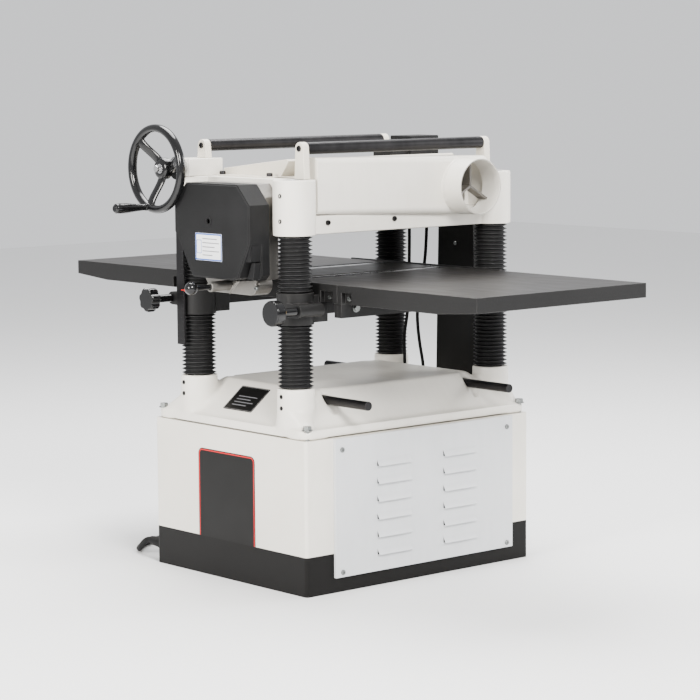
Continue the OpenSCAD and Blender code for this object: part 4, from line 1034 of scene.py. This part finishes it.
knob = {
    "rims": {"out": 0.0021, "in": 0.0241}, "rim": (0.0235, 0.0264, 0.0022),
    "bossIn": 0.036, "boss": (0.009, 0.0125, 0.011),
}
knobMiddle, knobEnd = middleOf("lock_knob_rear"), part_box("lock_knob_rear")[1].x
for name, inwards in knob["rims"].items():
    ringAt(f"knob_rear_rim_{name}", (knobEnd - inwards, knobMiddle.y, knobMiddle.z), (1, 0, 0), *knob["rim"],
           "knob_rear", "gloss_black")
ringAt("knob_rear_boss", (knobEnd - knob["bossIn"], knobMiddle.y, knobMiddle.z), (1, 0, 0), *knob["boss"],
       "knob_rear", "bronze")

indexRing = {"out": 0.0062, "ring": (0.0115, 0.0262, 0.006)}
shaft = middleOf("handwheel_shaft")
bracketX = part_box("handwheel_bracket")[1].x
ringAt("index_ring", (bracketX + indexRing["out"], shaft.y, shaft.z), (1, 0, 0), *indexRing["ring"],
       "handwheel_set", "black_moulding")

plugRing = {"y": 0.012, "z": 0.812, "sunk": 0.0004, "ring": (0.0062, 0.0105, 0.0014)}
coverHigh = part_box("gearbox_cover")[1]
ringAt("cover_plug_ring", (coverHigh.x - plugRing["sunk"], plugRing["y"], plugRing["z"]), (1, 0, 0),
       *plugRing["ring"], "frame", "black_moulding")

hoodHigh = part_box("dust_hood")[1]
port = {
    "x": -0.1725, "z": 0.876, "radius": 0.0635, "skin": 0.003,
    "webs": (90, 210, 330), "webHalf": 0.0022, "webDepth": (0.062, 0.034), "lip": 0.0024,
}


# three thin webs across the port that meet at its axis
def makePortRib():
    points, faces = [], []
    reachOut = port["radius"] - port["skin"] - 0.0002
    for angle in port["webs"]:
        out = Vector((math.cos(math.radians(angle)), 0, math.sin(math.radians(angle))))
        side = Vector((-out.z, 0, out.x)) * port["webHalf"]
        base = len(points)
        for reach in (0.0, reachOut):
            for flank in (-1, 1):
                for depth in port["webDepth"]:
                    middle = Vector((port["x"], hoodHigh.y - depth, port["z"]))
                    points.append(middle + out * reach + side * flank)
        box = [(0, 1, 3, 2), (4, 6, 7, 5), (0, 4, 5, 1), (2, 3, 7, 6), (0, 2, 6, 4), (1, 5, 7, 3)]
        faces += [tuple(base + i for i in face) for face in box]
    return dress(meshObject("port_rib", points, faces, smooth=False), "frame", "cast_aluminium")


makePortRib()
radius, skin, lip = port["radius"], port["skin"], port["lip"]
lipOutline = [(radius - skin, 0), (radius - 0.0004, 0), (radius, 0.0005), (radius, lip - 0.0006),
              (radius - 0.001, lip), (radius - lip, lip), (radius - skin, lip - 0.0006)]
dress(lathe("port_lip", lipOutline, (port["x"], hoodHigh.y - lip, port["z"]), (0, 1, 0), 96, closed=True),
      "frame", "white_paint")

# plates and labels
labelColours = {
    "panelBlack": (0.006, 0.0058, 0.0055), "lineRed": (0.50, 0.012, 0.016), "labelWhite": (0.78, 0.79, 0.8),
    "labelBlue": (0.03, 0.10, 0.42), "labelGrey": (0.16, 0.16, 0.17), "plateSilver": (0.2, 0.2, 0.2),
}


# print or foil on a smooth plate
def printed(name, colour, rough=0.3):
    material, tree, shader, place = newMaterial(name)
    smudge = use(tree, "smudge", Place=place, Scale=12.0)["Value"]
    grain = use(tree, "grain", Place=place, Scale=900.0, Depth=0.05)
    edge = use(tree, "edge", Place=place, Radius=0.0004, Reach=0.3)["Mask"]
    wearAndHighlight = tuple(min(1.0, part * 1.25 + 0.05) for part in colour)
    deep = tuple(part * 0.88 for part in colour)
    tone = mixed(tree, edge, twoTone(tree, smudge, colour, deep), rgba(wearAndHighlight))
    gloss = glossOf(tree, smudge, rough, 0.05, 0.12)
    feed(tree, shader, colour=tone, rough=gloss, normal=grain["Normal"], specular=0.12)
    return material


labelPaint = {name: printed(name, colour) for name, colour in labelColours.items()}


def label(made, body, paint, *replaced):
    made.data.materials.clear()
    made.data.materials.append(labelPaint[paint])
    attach(made, body)
    if replaced:
        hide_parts(*replaced)
    return made


# the same loop drawn in from its edge
def drawnIn(loop, inset, width, height):
    return [(x * (width - 2 * inset) / width, y * (height - 2 * inset) / height) for x, y in loop]


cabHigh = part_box("cabinet_shell")[1]
panel = {
    "width": 0.204, "top": 0.290, "y": -0.007, "thick": 0.0008, "corner": 0.014,
    "line": (0.0022, 0.0048), "ink": 0.00015,
}


# the outline of the side panel without its lower side, which meets the black band
def archPath(inset):
    half, top, corner = panel["width"] / 2 - inset, panel["top"] - bandHeight - inset, panel["corner"] - inset
    path = [(half, 0)]
    for side, start in ((1, 0), (-1, 90)):
        for step in range(9):
            angle = math.radians(start + 90 * step / 8)
            across = side * (half - corner) + corner * math.cos(angle)
            path.append((across, top - corner + corner * math.sin(angle)))
    return path + [(-half, 0)]


panelAt = Vector((cabHigh.x, panel["y"], bandHeight))
label(plate("side_panel", panelAt, (1, 0, 0), (0, 0, 1), archPath(0), panel["thick"]), "frame", "panelBlack",
      "badge_plates")
near, far = panel["line"]
label(plate("side_panel_line", panelAt + Vector((panel["thick"], 0, 0)), (1, 0, 0), (0, 0, 1),
            archPath(near) + archPath(far)[::-1], panel["ink"]), "frame", "lineRed")

ink = 0.00012  # how far print stands proud
typePlate = {
    "at": (0.2804, -0.0035, 0.4048), "out": (0.6213, 0, 0.7836), "up": (-0.7836, 0, 0.6213),
    "size": (0.102, 0.074), "sunk": 0.0014, "thick": 0.0022, "corner": 0.003, "edge": (0.002, 0.0028),
    # widths of the rows, how far each is shifted, the first row's height, pitch and thickness
    "rows": (0.066, 0.05, 0.066, 0.05), "shifts": (0.0, -0.008, 0.0, -0.008), "first": 0.006, "pitch": 0.009,
    "rowHigh": 0.0022,
}


def makeTypePlate():
    out, up, size = Vector(typePlate["out"]), Vector(typePlate["up"]), typePlate["size"]
    back = Vector(typePlate["at"]) - out * typePlate["sunk"]
    face = back + out * typePlate["thick"]
    loop = roundedLoop(*size, typePlate["corner"])
    body = plate("type_plate", back, out, up, loop, typePlate["thick"])
    label(body, "frame", "panelBlack", "badge_plates")
    outer, inner = (drawnIn(loop, inset, *size) for inset in typePlate["edge"])
    label(plate("type_plate_edge", face, out, up, outer, ink, inner), "frame", "plateSilver")
    for line, wide in enumerate(typePlate["rows"]):
        shift = up * (typePlate["first"] - typePlate["pitch"] * line)
        shift.y += typePlate["shifts"][line]
        bar = roundedLoop(wide, typePlate["rowHigh"], 0.0008, 2)
        label(plate(f"type_plate_row_{line}", face + shift, out, up, bar, ink), "frame", "labelGrey")


makeTypePlate()

speedLabel = {
    "y": 0.012, "z": 0.755, "size": (0.094, 0.060), "corner": 0.002, "thick": 0.0003,
    "edge": (0.0005, 0.0035),
    # the rows start on one line, this far from the middle
    "rows": (0.052, 0.060, 0.044, 0.060, 0.036), "start": -0.022, "first": 0.018, "pitch": 0.009,
    "rowHigh": 0.0020,
    "sketch": (0.018, 0.030), "sketchY": -0.034, "sketchLine": 0.0012,
}


def makeSpeedLabel():
    right, up, size = Vector((1, 0, 0)), Vector((0, 0, 1)), speedLabel["size"]
    at = Vector((coverHigh.x, speedLabel["y"], speedLabel["z"]))
    face = at + right * speedLabel["thick"]
    loop = roundedLoop(*size, speedLabel["corner"])
    label(plate("speed_label", at, right, up, loop, speedLabel["thick"]), "frame", "labelWhite")
    outer, inner = (drawnIn(loop, inset, *size) for inset in speedLabel["edge"])
    label(plate("speed_label_edge", face, right, up, outer, ink, inner), "frame", "labelBlue")
    for line, wide in enumerate(speedLabel["rows"]):
        shift = Vector((0, speedLabel["start"] + wide / 2, speedLabel["first"] - speedLabel["pitch"] * line))
        bar = roundedLoop(wide, speedLabel["rowHigh"], 0.0006, 2)
        label(plate(f"speed_label_row_{line}", face + shift, right, up, bar, ink), "frame", "labelGrey")
    sketch = roundedLoop(*speedLabel["sketch"], 0.003, 3)
    hole = drawnIn(sketch, speedLabel["sketchLine"], *speedLabel["sketch"])
    shift = Vector((0, speedLabel["sketchY"], 0))
    label(plate("speed_label_sketch", face + shift, right, up, sketch, ink, hole), "frame", "labelBlue")


makeSpeedLabel()
print("labels placed")

# screws and bolts, one template for each kind and direction: radius and height of the head first
cross = {"recess": 0.62, "points": 4, "cut": 0.72}
setScrew = {"radius": 0.0050, "height": 0.0012, "recess": 0.6, "depth": 0.95}
disc = {"radius": 0.0068, "height": 0.0030, "recess": 0.5}
hexagon = {"flats": 0.013, "height": 0.0065}
crossY = screwHead("cross_y", (0, 1, 0), 0.0058, 0.0032, **cross)
crossX = screwHead("cross_x", (1, 0, 0), 0.0048, 0.0026, **cross)
socketX = screwHead("socket_x", (1, 0, 0), 0.0052, 0.0050)
socketZ = screwHead("socket_z", (0, 0, 1), 0.0072, 0.0080)
socketY = screwHead("socket_y", (0, 1, 0), 0.0058, 0.0052)
setScrewX = screwHead("set_x", (1, 0, 0), **setScrew)
setScrewBack = screwHead("set_back", (-1, 0, 0), **setScrew)
discX = screwHead("disc_x", (1, 0, 0), **disc)
discBack = screwHead("disc_back", (-1, 0, 0), **disc)
hexFeed = hexHead("hex_feed", (0, 1, 0), **hexagon)
hexBack = hexHead("hex_back", (0, -1, 0), **hexagon)

# where each set sits, how far apart its pieces are, and how far its face stands from the part it is in
panelScrews = {"inX": 0.019, "inZ": 0.011, "out": 0.008, "apart": 0.503, "above": 0.272}
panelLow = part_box("access_panel")[0]
first = (panelLow.x + panelScrews["inX"], cabHigh.y + panelScrews["out"], panelLow.z + panelScrews["inZ"])
row("panel_screws", crossY, first, (panelScrews["apart"], 0, 0), 2, "frame", "zinc_bolt",
    (0, 0, panelScrews["above"]), 2, ("sheet_screws",))
guardScrews = {"in": 0.010, "y": 0.016, "z": 0.310, "apart": 0.415}
row("guard_screws", crossX, (-cabHigh.x - guardScrews["in"], guardScrews["y"], guardScrews["z"]),
    (0, 0, guardScrews["apart"]), 2, "frame", "zinc_bolt")

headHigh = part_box("head_casting")[1]
coverBolts = {"x": 0.272, "y": (-0.092, 0.076), "out": 0.003}
frontY, rearY = coverBolts["y"]
first = (-coverBolts["x"], frontY, headHigh.z + coverBolts["out"])
row("cover_bolts", socketZ, first, (2 * coverBolts["x"], 0, 0), 2, "frame", "dark_steel",
    (0, rearY - frontY, 0), 2, ("head_bolts",))
beamBolts = {"first": (0.0187, 0.2045, 0.809), "apart": 0.1953}
row("beam_bolts", socketY, beamBolts["first"], (beamBolts["apart"], 0, 0), 2, "frame", "dark_steel")

rollerEnds = {"y": (-0.1575, 0.1895), "z": 0.972}
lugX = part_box("roller_lugs")[1].x
frontY, rearY = rollerEnds["y"]
for side, piece, tag in ((1, discX, "right"), (-1, discBack, "left")):
    row(f"roller_ends_{tag}", piece, (side * lugX, frontY, rollerEnds["z"]), (0, rearY - frontY, 0), 2,
        "frame", "dark_steel")

# set screws in the column sockets: x and y of the first, its height, and the steps along y and z
columnX = 0.296
setScrews = {
    "base": {"out": 0.0418, "y": -0.1615, "z": 0.4084, "apart": (0.351, 0.0252)},
    "head": {"out": 0.0464, "y": -0.165, "z": 0.8167, "apart": (0.362, 0.0548)},
}
for side, screw, tag in ((1, setScrewX, "right"), (-1, setScrewBack, "left")):
    for place, spot in setScrews.items():
        row(f"{place}_set_screws_{tag}", screw, (side * (columnX + spot["out"]), spot["y"], spot["z"]),
            (0, spot["apart"][0], 0), 2, "frame", "dark_steel", (0, 0, spot["apart"][1]), 2)

jointScrews = {"x": 0.242, "y": {"rear": 0.246, "front": -0.291}, "z": 0.650, "apart": 0.065}
for end, y in jointScrews["y"].items():
    row(f"joint_screws_{end}", socketX, (jointScrews["x"], y, jointScrews["z"]),
        (0, jointScrews["apart"], 0), 2, "table", "zinc_bolt")
flangeBolts = {"x": -0.21, "z": 0.627, "apart": 0.105, "count": 5}
for end, piece, y in (("rear", hexFeed, 0.293), ("front", hexBack, -0.273)):
    row(f"flange_bolts_{end}", piece, (flangeBolts["x"], y, flangeBolts["z"]), (flangeBolts["apart"], 0, 0),
        flangeBolts["count"], "table", "zinc_bolt")
gearboxBolts = {"out": 0.049, "y": -0.043, "z": 0.667, "apart": 0.161}
row("gearbox_bolts", socketX, (columnX + gearboxBolts["out"], gearboxBolts["y"], gearboxBolts["z"]),
    (0, gearboxBolts["apart"], 0), 2, "frame", "zinc_bolt")
print("screws placed")

# rings round the two push buttons on the switch box
legend = {"x": {"start": -0.222, "stop": -0.182}, "z": 0.964, "across": (0.029, 0.0236), "thick": 0.0004}
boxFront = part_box("switch_box")[0].y
ring, hole = (roundedLoop(across, across, across / 2 - 0.0001, 8) for across in legend["across"])
for name, x in legend["x"].items():
    spot = (x, boxFront, legend["z"])
    made = plate(f"{name}_legend", spot, (0, -1, 0), (0, 0, 1), ring, legend["thick"], hole)
    label(made, "frame", "labelWhite")

for made in templates:
    bpy.data.objects.remove(made)
